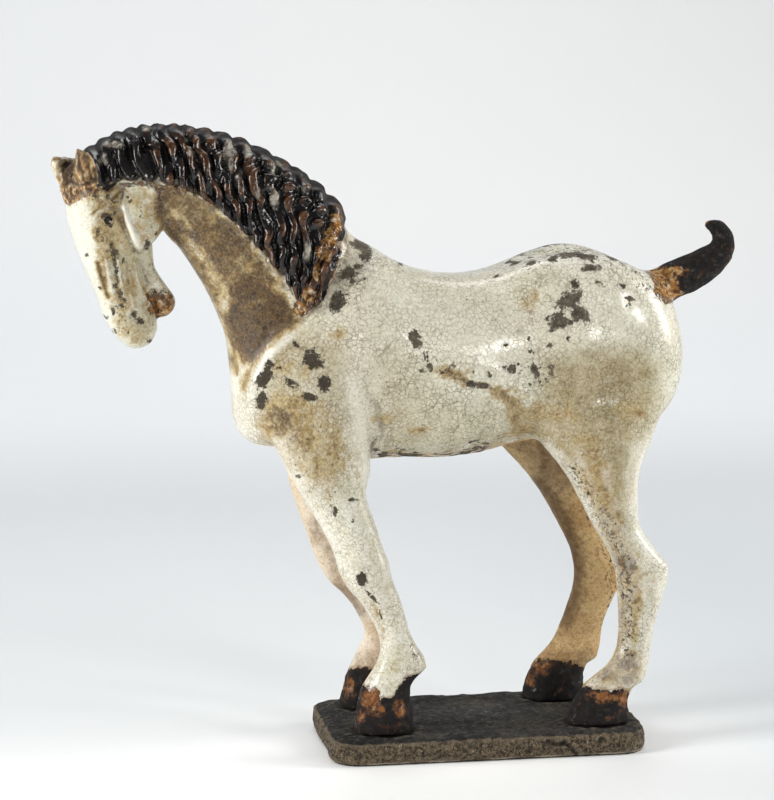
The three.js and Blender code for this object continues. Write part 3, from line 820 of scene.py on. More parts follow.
# Dark brown streaks on the bare clay of the far legs: stain, and painted shade down the far hind leg's front
# edge.
UMBER_AND_SHADE = [
    (0.62, 26, [(520, 442), (546, 460), (556, 478)]),
    # Painted shade down the far hind leg's front edge, over its stain.
    (0.98, 11, [(538, 482), (554, 502), (565, 522), (573, 545), (577, 570), (575, 595), (566, 620)]),
    (0.4, 9, [(566, 628), (552, 646)]),
    (0.9, 7, [(538, 440), (545, 460), (543, 472)]),
    (0.45, 12, [(540, 655), (575, 658), (590, 658)]),
    (0.7, 7, [(338, 584), (350, 598), (360, 612)]),
    (0.6, 8, [(314, 522), (318, 540)]),
    (0.5, 6, [(326, 548), (334, 564), (338, 578)]),
    (0.45, 10, [(345, 656), (372, 664)]),
]
# The ears and the forelock, whose brown runs in streaks: strength, softness, outline.
STREAKY = [
    (1.0, 1.5, NEAR_EAR),
    (0.5, 1.5, [(47, 150), (62, 152), (72, 158), (74, 184), (60, 184), (50, 172)]),
    (0.9, 2.0, [(60, 180), (98, 180), (100, 190), (90, 196), (80, 200), (68, 207), (60, 196)]),
]
# The darkest of those streaks, and painted shade in the far ear's hollow.
EAR_UMBER_AND_SHADE = [
    (1.0, 2.2, [(78, 152), (80, 168), (84, 180)]),
    (0.8, 2.0, [(87, 158), (89, 170), (92, 182)]),
    (0.9, 1.8, [(95, 168), (96, 182)]),
    (0.8, 1.6, [(73, 164), (75, 180)]),
    # This one is painted shade in the far ear's hollow.
    (1.0, 4.0, [(67, 166), (68, 176), (66, 185)]),
    (1.0, 2.2, [(70, 181), (80, 185), (98, 181)]),
    (0.8, 1.6, [(71, 188), (70, 200)]),
    (0.6, 1.5, [(62, 186), (61, 194)]),
    (0.7, 1.6, [(81, 190), (82, 199)]),
    (0.5, 2.0, [(76, 204), (70, 206)]),
]
# Where the mane's glaze is worn thin to a pale grey, and where it is rusty.
WORN = [
    (116, 145, 13, 4, 1.0), (149, 128, 8, 4, 0.8), (103, 160, 6, 8, 1.0), (228, 156, 8, 18, 1.0),
    (238, 180, 5, 12, 0.7), (248, 150, 6, 9, 0.8), (276, 168, 7, 10, 0.7), (258, 196, 4, 15, 0.7),
    (276, 199, 8, 12, 0.8), (301, 188, 6, 14, 0.6), (307, 248, 6, 16, 0.9), (264, 216, 5, 10, 0.5),
    (200, 160, 4, 12, 0.5), (190, 148, 4, 14, 0.5), (262, 228, 4, 12, 0.4),
]
RUST = [
    (172, 142, 9, 16, 0.9), (194, 152, 12, 20, 1.0), (166, 178, 8, 10, 0.6), (256, 186, 14, 16, 1.0),
    (290, 204, 8, 22, 0.8), (243, 168, 12, 14, 0.9), (212, 142, 8, 10, 0.6), (302, 224, 7, 14, 0.8),
    (270, 236, 7, 18, 0.7), (150, 160, 8, 12, 0.5), (208, 188, 10, 12, 0.5), (337, 210, 6, 12, 1.0),
    (322, 214, 6, 14, 0.7), (285, 168, 8, 8, 0.6), (294, 298, 5, 14, 0.8), (238, 205, 7, 12, 0.4),
    (330, 262, 8, 20, 0.9), (318, 290, 7, 18, 0.9),
]
# Where no rust shows, and where the chipped body is painted darker as shade, as blobs too.
RUSTLESS = [(126, 158, 28, 26, 1.0)]
SHADED_CHIPS = [(290, 376, 60, 48, 1.0), (363, 580, 12, 14, 1.0)]
# Outlines and a path on the head, in the picture.
EAR_HOLLOW = [(61, 165), (66, 161), (73, 163), (74, 174), (70, 184), (65, 187), (62, 176)]
BEHIND_EAR = [(99, 176), (120, 176), (116, 184), (108, 191), (101, 188)]
FAR_EAR = [(0.8, 2, [(49, 152), (62, 153), (72, 160), (62, 180), (56, 180)])]
CHEEK_HIGHLIGHT = [(124, 206), (131, 226), (139, 243)]
# A spot on the tail's root, and the way across its edge there, in the picture.
TAIL_ROOT = (646.5, 268.5)
TAIL_WAY = np.array([34.0, -27.5]) / 43.7


def blobs(spots, rows):
    field = np.zeros(len(spots))
    for x, y, wide, high, strength in rows:
        away = np.hypot((spots[:, 0] - x) / wide, (spots[:, 1] - y) / high)
        field = np.maximum(field, strength * np.exp(-0.8 * away**3))
    return field


def streaks(spots, rows):
    field = np.zeros(len(spots))
    for strength, width, path in rows:
        field = np.maximum(field, strength * bell(from_path(spots, path)[0], width))
    return field


def on_legs(places):
    """Which points are on the low part of each leg."""
    low = places.share[:, 2] < HOOF_REACH
    fore = places.share[:, 0] < 3
    near = ~places.far
    return {
        "near fore": low & fore & near, "far fore": low & fore & ~near,
        "near hind": low & ~fore & near, "far hind": low & ~fore & ~near,
    }


def on_tail(places):
    return (places.share[:, 0] > 28) & (places.share[:, 2] > 67)


def dark_field(places, part, ear_hollow_shade):
    """Dark glaze on the mane, the hooves, the tail, the eye and behind the near ear, and painted shade in
    the far ear's hollow.
    """
    spots, own_spots = places.spots, places.own_spots
    dark = places.mane * lock_ends(places, part)
    for name, chosen in on_legs(places).items():
        top = np.array(HOOF_TOPS[name], float)
        level = np.interp(own_spots[:, 0], top[:, 0], top[:, 1])
        dark = np.where(chosen, smoothstep(own_spots[:, 1] - level, -3.5, 3.0), dark)
    tail_line = (own_spots - TAIL_ROOT) @ TAIL_WAY
    dark = np.where(on_tail(places), smoothstep(tail_line, 0.5, 3.0), dark)
    behind_ear = smoothstep(inside(spots, BEHIND_EAR), -2, 2)
    # Painted shade in the far ear's hollow, laid on as dark glaze.
    dark = np.where(places.head, np.maximum(np.maximum(dark, behind_ear), 0.62 * ear_hollow_shade), dark)
    eye = np.hypot(*(spots - EYE_SPOT).T)
    glint = np.hypot(*(spots - GLINT_SPOT).T)
    # The glint is a painted highlight: the dark glaze is left off a small spot, so the cream shows.
    eyeball = (1 - smoothstep(eye, 3.6, 4.8)) * (1 - bell(glint, 1.7))
    return np.where(places.head & (eye < 5.6) & (places.facing > 0), eyeball, dark)


def amber_field(places):
    """Amber as in the picture, and none on the far side of the body."""
    near_side = np.where(places.far, 0, smoothstep(places.facing, 0.3, 0.6))
    shown = np.where(places.body & ~on_tail(places), near_side, 1)
    topknot = places.head & (places.local[:, 2] > 87.5)
    own = topknot | (places.share[:, 2] < HOOF_REACH)
    return np.where(own, blobs(places.own_spots, AMBER), blobs(places.spots, AMBER) * shown)


def bare_field(places):
    """Above zero where the glaze is off: patches, and the belly's worn edge."""
    points, spots = places.points, places.spots
    off = np.where(places.head, patch_field(spots, HEAD_PATCHES), patch_field(spots, PATCHES))
    off = np.where((places.facing > 0.05) & (places.mane < 0.5) & (places.share[:, 2] > 12), off, -3)
    wander = 0.15 + 1.3 * noise(points, 26, 91)
    off = np.where(places.far & ~places.head, np.minimum(off, wander), off)
    belly = 1 - from_path(spots, BELLY_CHIPS)[0] / 9
    belly += 1.1 * noise(points * [0.4, 1, 1.6], 2.4, 92) - 0.6
    off = np.where(places.body, np.maximum(off, np.where(belly > -1, belly, -3)), off)
    return np.clip(off, -3, 1)


def stain_field(places):
    """How much brown has soaked into the glaze, with a painted shadow down the near hind leg's edge."""
    spots = places.spots
    stain_and_shade = np.maximum(blobs(spots, STAINS), washes(spots, WASHES))
    stain_and_shade = np.maximum(stain_and_shade, streaks(spots, STAIN_AND_SHADE_LINES)) * np.where(places.facing > -0.3, 1, 0.4)
    for strength, width, path in PALE_AND_SHEEN_STREAKS:
        stain_and_shade *= 1 - strength * bell(from_path(spots, path)[0], width)
    return np.where(places.mane > 0.5, 0, stain_and_shade)


def clay_field(places):
    """Bare clay on the inner sides of the legs and under the belly."""
    y, height, normals = places.points[:, 1], places.share[:, 2], places.normals
    inward = np.where(y > 0, -normals[:, 1], normals[:, 1])
    inner = smoothstep(inward, -0.35, 0.15) * smoothstep(-height, -53, -49)
    under = smoothstep(-normals[:, 2], 0.75, 0.95) * smoothstep(height, 38, 42) * 0.7
    return np.maximum(inner, under) * places.body


def clean_and_sheen_field(places):
    """Cleaner glaze on the face, with a painted highlight on the cheek's edge and painted sheen in streaks
    on the body.
    """
    head, spots = places.head, places.spots
    face = head * smoothstep(-spots[:, 0] + (spots[:, 1] - 224) * 0.26, -97, -86)
    face *= smoothstep(places.own_spots[:, 1], 190, 203)
    cheek_highlight = head * bell(from_path(spots, CHEEK_HIGHLIGHT)[0], 5)
    sheen_streaks = streaks(spots, SHEEN_LINES) * ~head
    return np.clip(np.maximum(np.maximum(0.6 * face, cheek_highlight), sheen_streaks), 0, 1)


def fields_of(points, faces):
    """Fields for the horse's material, each one number a point."""
    normals = normals_of(points, faces)
    places = Places(points, normals)
    mean = averager(faces, len(points))
    share, head, mane = places.share, places.head, places.mane
    spots, own_spots = places.spots, places.own_spots
    number, part = lock_spots(places)
    # The far ear's hollow, where shade is painted.
    ear_hollow_shade = smoothstep(inside(own_spots, EAR_HOLLOW), -1.5, 1.5)
    far_umber_and_shade = streaks(own_spots, UMBER_AND_SHADE) * (places.far & places.body)
    ear_umber_and_shade = np.maximum(streaks(own_spots, EAR_UMBER_AND_SHADE), ear_hollow_shade) * head
    clean_and_sheen = clean_and_sheen_field(places)
    speck = np.where(head, streaks(spots, HEAD_SPECKS), streaks(spots, SPECKS))
    speck = np.maximum(0.35 + 0.3 * noise(points, 18, 95), speck)
    return {
        "dark": dark_field(places, part, ear_hollow_shade),
        "worn": blobs(spots, WORN) * mane,
        "rust": (blobs(spots, RUST) - 0.7 * blobs(spots, RUSTLESS)) * mane,
        "amber": amber_field(places),
        "craze": np.where(head, 0.3, np.where(share[:, 2] < 46, 0.75, 1.0)),
        "head": head * 1.0,
        "deep": blobs(spots, SHADED_CHIPS),
        "streaky": washes(own_spots, STREAKY) * head,
        "crest": mane * (1 - smoothstep(places.down, 0.0, 0.4)),
        "bare": bare_field(places),
        "stain_and_shade": stain_field(places),
        "tan_and_shade": np.maximum(washes(spots, TANS_AND_SHADE), washes(own_spots, FAR_EAR) * head),
        "clay": clay_field(places),
        "blush": smoothstep(-share[:, 0], -3, 3) * smoothstep(-share[:, 2], -60, -50),
        "umber_and_shade": np.maximum(far_umber_and_shade, ear_umber_and_shade),
        "ridge": np.clip(-bends(points, normals, mean, 2) / 0.12, -1, 1),
        "clean_and_sheen": clean_and_sheen,
        "lock_x": 4.3 * number + part,
        "lock_y": places.run / LUMP,
        "groove": mane * bell(np.minimum(part, 1 - part), 0.16),
        "hair": mane,
        "speck": np.clip(speck * (1 - 0.6 * clean_and_sheen), 0, 1),
    }


def put(name, points, faces, fields):
    """A new object from arrays in millimetres, with its fields."""
    mesh = mesh_of(name, points, faces)
    mesh.polygons.foreach_set("use_smooth", np.ones(len(faces), bool))
    for key, values in fields.items():
        mesh.attributes.new(key, "FLOAT", "POINT").data.foreach_set("value", values.astype(np.float32))
    mesh.update()
    return placed(name, mesh)


def horse():
    points, quads = remeshed("horse", HORSE_GRAIN)
    mean = averager(quads, len(points))
    places = Places(points, normals_of(points, quads))
    points = softened(points, mean, places)
    places = Places(points, normals_of(points, quads))
    points = carved(places)
    for _ in range(2):
        points = points + (0.2 + 0.3 * places.mane)[:, None] * (mean(points) - points)
    keep = np.where(places.head, 0.75, 0.25)
    keep = np.where(places.mane > 0.5, 0.75, keep)
    points, faces = thinned(points, quads, keep)
    piece = put("horse_glazed", points, faces, fields_of(points, faces))
    piece.data.materials.append(glaze_material())
    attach(piece, "root")
    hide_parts("horse")


# Where the hooves stand on the slab, in hundredths of the horse's height.
HOOF_PRINTS = [(-17.4, -8.4), (-17.4, 8.4), (18.8, -8.5), (15.2, 8.5)]
# The crack in the slab's front, in the picture.
SLAB_CRACK = [(548, 741), (556, 745), (566, 744), (573, 750), (577, 758)]


def slab():
    points, quads = remeshed("slab", SLAB_GRAIN)
    mean = averager(quads, len(points))
    for _ in range(8):
        points = points + 0.5 * (mean(points) - points)
    normals = normals_of(points, quads)
    low, high = (np.array(corner) * 1000 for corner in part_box("slab"))
    top = smoothstep(normals[:, 2], 0.5, 0.9)
    side = 1 - np.abs(normals[:, 2])
    lifted = side * (1.1 * noise(points, 19, 101) + 0.6 * noise(points, 6, 102) - 0.5)
    lifted += top * (0.7 * noise(points, 24, 103) + 0.3 * noise(points, 7, 104) - 0.8)
    lifted += 0.5 * noise(points, 3.2, 105) * (normals[:, 2] > -0.5)
    lifted += top * 0.5 * noise(points * [0.5, 1.4, 1], 9, 107)
    lifted -= side * top * 1.4 * smoothstep(noise(points, 8, 106), 0.1, 0.7)
    for x, y in HOOF_PRINTS:
        away = np.hypot((points[:, 0] - x * SHARE) / 5.9, (points[:, 1] - y * SHARE) / 4.6) / SHARE
        lifted += top * 1.2 * bell(away - 1.05, 0.2)
    in_front = normals @ BACK > 0.1
    crack = from_path(picture(points), SLAB_CRACK)[0]
    lifted -= 1.3 * bell(crack, 1.4) * in_front
    points = points + normals * lifted[:, None]
    points[:, :2] = np.clip(points[:, :2], low[:2], high[:2])
    points[:, 2] = np.where(normals[:, 2] < -0.9, 0, np.maximum(points[:, 2], 0))
    fields = {
        "ridge": np.clip(-bends(points, normals, mean, 3) / 0.15, -1, 1),
        "height": points[:, 2] / high[2],
        "level": top,
        "crack": bell(crack, 1.8) * in_front,
    }
    faces = np.concatenate([quads[:, [0, 1, 2]], quads[:, [0, 2, 3]]])
    piece = put("slab_clay", points, faces, fields)
    piece.data.materials.append(clay_material())
    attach(piece, "root")
    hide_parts("slab")


# Materials

class Socket:
    """What a node of a material gives out. Sums with it add nodes to the same tree."""

    def __init__(self, nodes, source):
        self.nodes = nodes
        self.source = source

    def __add__(self, other):
        return self.nodes.math("ADD", self, other)

    def __sub__(self, other):
        return self.nodes.math("SUBTRACT", self, other)

    def __rsub__(self, other):
        return self.nodes.math("SUBTRACT", other, self)

    def __mul__(self, other):
        return self.nodes.math("MULTIPLY", self, other)

    def most(self, other):
        return self.nodes.math("MAXIMUM", self, other)

    def between(self, low, high, start=0.0, end=1.0):
        """From start to end, smoothly, as this goes from low to high."""
        inputs = {"Value": self, "From Min": low, "From Max": high, "To Min": start, "To Max": end}
        return self.nodes.result("ShaderNodeMapRange", "Result", inputs, interpolation_type="SMOOTHSTEP")

    def picks(self, first, second, low=0.35, high=0.65):
        """The first colour where this is low, the second where it is high."""
        return self.nodes.mix(self.between(low, high), first, second)


class Nodes:
    """A new material, and short hands for building its node tree."""

    def __init__(self, name):
        self.material = bpy.data.materials.new(name)
        self.material.use_nodes = True
        self.tree = self.material.node_tree
        self.tree.nodes.clear()
        self.place = self.result("ShaderNodeTexCoord", "Object")

    def add(self, kind, inputs=None, **settings):
        """Adds a node, its inputs given by name or number, and returns its outputs."""
        made = self.tree.nodes.new(kind)
        for key, value in settings.items():
            setattr(made, key, value)
        for key, value in (inputs or {}).items():
            if isinstance(value, Socket):
                self.tree.links.new(value.source, made.inputs[key])
            elif made.inputs[key].type == "RGBA":
                made.inputs[key].default_value = (*value, 1)
            else:
                made.inputs[key].default_value = value
        return made.outputs

    def result(self, kind, output, inputs=None, **settings):
        """A new node's output of that name or number."""
        return Socket(self, self.add(kind, inputs, **settings)[output])

    def results(self, kind, inputs):
        """All the outputs of a new node."""
        return [Socket(self, output) for output in self.add(kind, inputs)]

    def field(self, name):
        return self.result("ShaderNodeAttribute", "Fac", attribute_name=name)

    def math(self, operation, a, b, clamp=False):
        return self.result("ShaderNodeMath", 0, {0: a, 1: b}, operation=operation, use_clamp=clamp)

    def mix(self, share, a, b, blend="MIX"):
        """Colour a with that share of colour b in it."""
        return self.result("ShaderNodeMix", 2, {0: share, 6: a, 7: b}, data_type="RGBA", blend_type=blend)

    def layers(self, colour, *rows):
        """A colour with others laid over it, each row a share, a colour and how they blend."""
        for share, *over in rows:
            colour = self.mix(share, colour, *over)
        return colour

    def blend(self, share, a, b):
        """Number a with that share of number b in it."""
        return self.result("ShaderNodeMix", 0, {0: share, 2: a, 3: b}, data_type="FLOAT")

    def noise(self, scale, detail=2.0, rough=0.5, place=None):
        inputs = {"Vector": place or self.place, "Scale": scale, "Detail": detail, "Roughness": rough}
        return self.result("ShaderNodeTexNoise", "Fac", inputs)

    def seams(self, place, scale):
        """The distance from the seams of a net of cells."""
        inputs = {"Vector": place, "Scale": scale}
        return self.result("ShaderNodeTexVoronoi", "Distance", inputs, feature="DISTANCE_TO_EDGE")

    def vector(self, operation, a, b, socket=1):
        return self.result("ShaderNodeVectorMath", 0, {0: a, socket: b}, operation=operation)

    def warped(self, scale, amount, place=None):
        """A place moved about by noise."""
        place = place or self.place
        wobble = self.result("ShaderNodeTexNoise", "Color", {"Vector": place, "Scale": scale, "Detail": 2.0})
        centred = self.vector("SUBTRACT", wobble, (0.5, 0.5, 0.5))
        return self.vector("ADD", place, self.vector("SCALE", centred, amount, "Scale"))

    def joined(self, *parts):
        return self.result("ShaderNodeCombineXYZ", 0, dict(enumerate(parts)))

    def parted(self):
        """The x, y and z of the place."""
        return self.results("ShaderNodeSeparateXYZ", {"Vector": self.place})

    def bump(self, height, distance, strength, **normal):
        inputs = {"Height": height, "Distance": distance, "Strength": strength, **normal}
        return self.result("ShaderNodeBump", "Normal", inputs)

    def finish(self, shader):
        self.add("ShaderNodeOutputMaterial", {"Surface": shader})
        return self.material


def glaze_material():
    """Cream crackled glaze, dark brown glaze on hair and hooves, bare clay where it is off."""
    n = Nodes("glaze")
    small = n.noise(260, 4, 0.6)
    middle = n.noise(110, 4, 0.6)
    wide = n.noise(45, 3, 0.55)
    broad = n.noise(14, 2, 0.5)
    grain = n.noise(640, 4, 0.75)
    names = ("stain_and_shade", "ridge", "clean_and_sheen", "speck", "head", "dark", "hair", "crest", "groove", "amber", "umber_and_shade")
    stain_and_shade, ridge, clean_and_sheen, speck, head, darkness, hair, crest, groove, honeyed, browned_and_shaded = map(n.field, names)

    # The cream glaze, cooler and warmer in patches, with grime in its pores.
    cream = n.layers(
        wide.picks((0.655, 0.64, 0.495), (0.795, 0.77, 0.63)),
        (broad.between(0.42, 0.62, 0.0, 0.6), (0.65, 0.585, 0.45)),
        (middle.between(0.5, 0.7, 0.0, 0.35), (0.42, 0.40, 0.30)),
        (small.between(0.5, 0.8, 0.0, 0.4), (0.36, 0.32, 0.22)),
        # A thin tan, partly painted shade on the shoulder, the belly and the lower haunch.
        (n.field("tan_and_shade") * middle.between(0.3, 0.7, 0.75, 1.1), (0.56, 0.48, 0.32), "MULTIPLY"),
        # Paler where the face is clean, and painted highlights on the cheek's edge and in streaks on the
        # body.
        (clean_and_sheen * small.between(0.3, 0.6, 0.95, 0.8), (0.77, 0.745, 0.64)),
        (n.noise(560, 5, 0.75).between(0.56, 0.74, 0.0, 0.45) * (1.0 - clean_and_sheen * 0.7), (0.24, 0.19, 0.115)),
    )

    # The crackle: a net of cracks, and a finer one that comes and goes.
    crack = n.seams(n.warped(90, 0.0022), 180).between(0.0, 0.046, 1.0, 0.0)
    crack *= middle.between(0.35, 0.65, 0.35, 0.9)
    web = n.seams(n.warped(200, 0.0014), 330).between(0.0, 0.13, 1.0, 0.0)
    web *= n.noise(60).between(0.38, 0.62, 0.2, 1.0) * 0.8
    lines = crack.most(web) * (1.0 - clean_and_sheen * 0.8) * n.field("craze")

    # Brown that has soaked in, with a painted shadow down the near hind leg, dirt in the hollows, and glaze
    # rubbed clean on the ridges.
    soak = stain_and_shade + small.between(0.35, 0.7, -0.2, 0.18) + middle.between(0.35, 0.65, -0.16, 0.12)
    soak += wide.between(0.35, 0.65, -0.16, 0.16)
    soak = n.math("MULTIPLY", soak, stain_and_shade.between(0.02, 0.25), clamp=True)
    dusty = n.noise(270, 6, 0.75).between(0.54, 0.7) * stain_and_shade.between(0.3, 0.8, 0.0, 0.25)
    dirt = ridge.between(-0.7, -0.1, 0.8, 0.0) * small.between(0.3, 0.6, 0.3, 1.0)
    worn = ridge.between(0.25, 0.8, 0.0, 0.55) * stain_and_shade.between(0.5, 0.9, 1.0, 0.25)
    colour = n.layers(
        cream,
        (soak.between(0.0, 0.6), middle.picks((0.36, 0.24, 0.085), (0.47, 0.36, 0.165))),
        (soak.between(0.45, 0.95), small.picks((0.036, 0.017, 0.004), (0.150, 0.080, 0.020))),
        (stain_and_shade.between(1.0, 1.4, 0.0, 0.4), (0.045, 0.022, 0.006)),
        (dusty, (0.44, 0.37, 0.25)),
        (dirt, (0.12, 0.085, 0.045)),
        (worn, (0.80, 0.78, 0.69)),
        (lines * 0.74, (0.15, 0.105, 0.052)),
    )

    # Buff clay on the inner sides of the legs, which the glaze doesn't reach.
    clay = n.layers(
        wide.picks((0.50, 0.31, 0.125), (0.66, 0.465, 0.21)),
        (n.noise(620, 5, 0.75).between(0.53, 0.66, 0.0, 0.7), (0.20, 0.11, 0.048)),
        (small.between(0.5, 0.75, 0.0, 0.6), (0.30, 0.165, 0.068)),
        (broad.between(0.42, 0.6, 0.0, 0.4), (0.64, 0.52, 0.32)),
        (n.field("blush") * wide.between(0.35, 0.6, 0.35, 0.85), (0.74, 0.66, 0.55)),
    )
    bare_leg = (n.field("clay") + small.between(0.3, 0.7, -0.15, 0.15)).between(0.35, 0.65)
    colour = n.mix(bare_leg, colour, clay)

    # Fine grain, darker and paler, over glaze and clay alike.
    kept = 1.0 - clean_and_sheen * 0.4
    paler = grain.between(0.34, 0.50, 0.40, 0.0) * kept * stain_and_shade.between(0.7, 1.3, 1.0, 0.3)
    colour = n.mix(grain.between(0.50, 0.66, 0.0, 0.6) * kept, colour, (0.50, 0.44, 0.35), "MULTIPLY")
    colour = n.mix(paler, colour, (0.42, 0.41, 0.36), "SCREEN")

    # Specks and chips down to the grey-brown body.
    away, chance, *_ = n.results("ShaderNodeTexVoronoi", {"Vector": n.warped(500, 0.0012), "Scale": 420})
    lucky = speck * 0.18 - n.result("ShaderNodeSeparateColor", 0, {"Color": chance})
    specks = (lucky.between(0.0, 0.3, 0.0, 0.36) - away).between(0.0, 0.08) * lucky.between(0.0, 0.02)
    for scale, detail, share, high in ((330, 5, 0.21, 0.79), (640, 4, 0.19, 0.80)):
        specks = specks.most((n.noise(scale, detail, 0.7) + speck * share).between(0.745, high))
    edge = n.field("bare") + n.noise(420, 6, 0.8).between(0.25, 0.75, -0.5, 0.5)
    edge += n.noise(150).between(0.3, 0.7, -0.22, 0.22)
    edge += head * n.noise(800, 3, 0.6).between(0.3, 0.7, -0.6, 0.45)
    off = edge.between(0.0, 0.12).most(specks)
    body = n.layers(
        small.picks((0.027, 0.020, 0.013), (0.105, 0.083, 0.056)),
        (grain.between(0.36, 0.46, 0.7, 0.0), (0.21, 0.17, 0.115)),
        # Painted shade: the chips on the shoulder and the foreleg made darker.
        (n.field("deep") * 0.8, (0.020, 0.014, 0.008)),
    )
    colour = n.mix(off * 0.97, colour, body)

    # Dark glaze: black where it pooled, rusty where it is thin, worn to grey on the locks.
    across, along, smooth = n.field("lock_x"), n.field("lock_y"), 1.0 - hair
    strand = n.joined(across, along * 0.8)
    moved = n.vector("ADD", strand, (31.0, 7.0, 3.0))
    rusty = n.blend(hair * 0.55, n.noise(150, 4, 0.65), n.noise(1.15, 3, 0.55, strand))
    rusty += ridge * 0.10 - groove * 0.25 + n.field("rust") * 0.16 - smooth * 0.10 + crest * 0.04
    bald = n.blend(hair * 0.5, n.noise(130, 4, 0.65), n.noise(1.0, 3, 0.55, moved))
    bald += n.field("worn") * 0.36 - groove * 0.12
    bald = bald.between(0.62, 0.84) * hair
    red = small.picks((0.030, 0.012, 0.006), (0.110, 0.052, 0.024))
    dark = n.layers(
        small.picks((0.0045, 0.0035, 0.0035), (0.014, 0.011, 0.010), 0.4, 0.7),
        (rusty.between(0.56, 0.67), red),
        (n.noise(430, 5, 0.75).between(0.60, 0.68, 0.0, 0.7) * smooth, (0.16, 0.085, 0.035)),
        (bald * 0.95, small.picks((0.13, 0.11, 0.085), (0.38, 0.35, 0.285), 0.4, 0.6)),
    )
    cover = (darkness + n.noise(380, 3, 0.6).between(0.25, 0.75, -0.3, 0.3)).between(0.42, 0.55)
    rim = darkness.between(0.01, 0.3) * (1.0 - cover) * 0.6
    colour = n.layers(colour, (cover, dark), (rim, (0.22, 0.115, 0.045)))

    # Amber where the dark glaze ran thin, redder on the hooves.
    x, y, z = n.parted()
    honey = n.layers(
        small.picks((0.066, 0.024, 0.007), (0.36, 0.160, 0.036), 0.4, 0.6),
        (n.noise(330, 3, 0.6).between(0.5, 0.62, 0.0, 0.9), (0.52, 0.33, 0.14)),
        (n.noise(280, 3, 0.6).between(0.56, 0.66, 0.0, 0.85), (0.64, 0.55, 0.40)),
        (z.between(0.045, 0.06, 0.72, 0.0), (0.19, 0.062, 0.014)),
    )
    amber = honeyed + n.noise(210, 3, 0.65).between(0.25, 0.75, -0.38, 0.38) * honeyed.between(0.05, 0.4)

    # Brown in streaks down the ears and the forelock, and umber on the bare clay, partly painted shade down
    # the far hind leg and in the far ear's hollow.
    run = n.noise(420, 4, 0.6, n.warped(120, 0.003, n.joined(x, y, z * 0.5)))
    streaky = run.picks((0.036, 0.014, 0.004), (0.31, 0.155, 0.042), 0.45, 0.53)
    streaky = n.mix(run.between(0.56, 0.62), streaky, (0.56, 0.44, 0.25))
    on_ear = n.field("streaky") + small.between(0.3, 0.7, -0.2, 0.2)
    umber_and_shade = browned_and_shaded + small.between(0.3, 0.7, -0.16, 0.16) * browned_and_shaded.between(0.02, 0.3)
    umber_and_shade = umber_and_shade.between(0.0, 1.15, 0.0, 0.88)
    colour = n.layers(
        colour,
        (amber.between(0.22, 0.42, 0.0, 0.9), red),
        (amber.between(0.45, 0.7, 0.0, 0.95), honey),
        (on_ear.between(0.3, 0.7, 0.0, 0.85), streaky),
        (umber_and_shade, n.mix(head, (0.098, 0.050, 0.017), (0.030, 0.016, 0.007))),
    )

    # Roughness: glassy on clean glaze, dull on dirt, bare clay and the crest of the mane.
    rough = n.noise(120, 3).between(0.3, 0.7, 0.12, 0.26)
    for share, dull in ((soak * 0.8, 0.55), (umber_and_shade * head, 0.9), (bare_leg, 0.72), (off, 0.85)):
        rough = n.blend(share, rough, dull)
    hoof = n.noise(200, 3, 0.6).between(0.58, 0.68, 0.95, 0.32)
    wet = n.blend(hair, hoof, n.noise(120).between(0.35, 0.7, 0.07, 0.20))
    rough = n.blend(cover, rough, n.blend(crest, wet, 0.85))
    rough = rough.most(bald * cover * 0.4)

    # Relief: chips, the crackle and a fine grain, hairs along the locks, lumps of dark glaze.
    relief = small * 0.07 + n.noise(900, 3, 0.6) * 0.05 - off * 0.55 - lines * 0.10 * (1.0 - cover)
    normal = n.bump(relief, 0.0006, 0.8)
    hairs = n.noise(1.2, 2, 0.5, n.joined(across * 6.0, along)) * hair
    normal = n.bump(hairs, 0.0006, 0.2, Normal=normal)
    normal = n.bump(n.noise(150, 3, 0.6) * cover, 0.0012, 0.4, Normal=normal)
    return n.finish(n.result("ShaderNodeBsdfPrincipled", 0, {
        "Base Color": colour, "Roughness": rough, "Normal": normal, "IOR": 1.5, "Specular IOR Level": 0.42,
    }, distribution="GGX"))


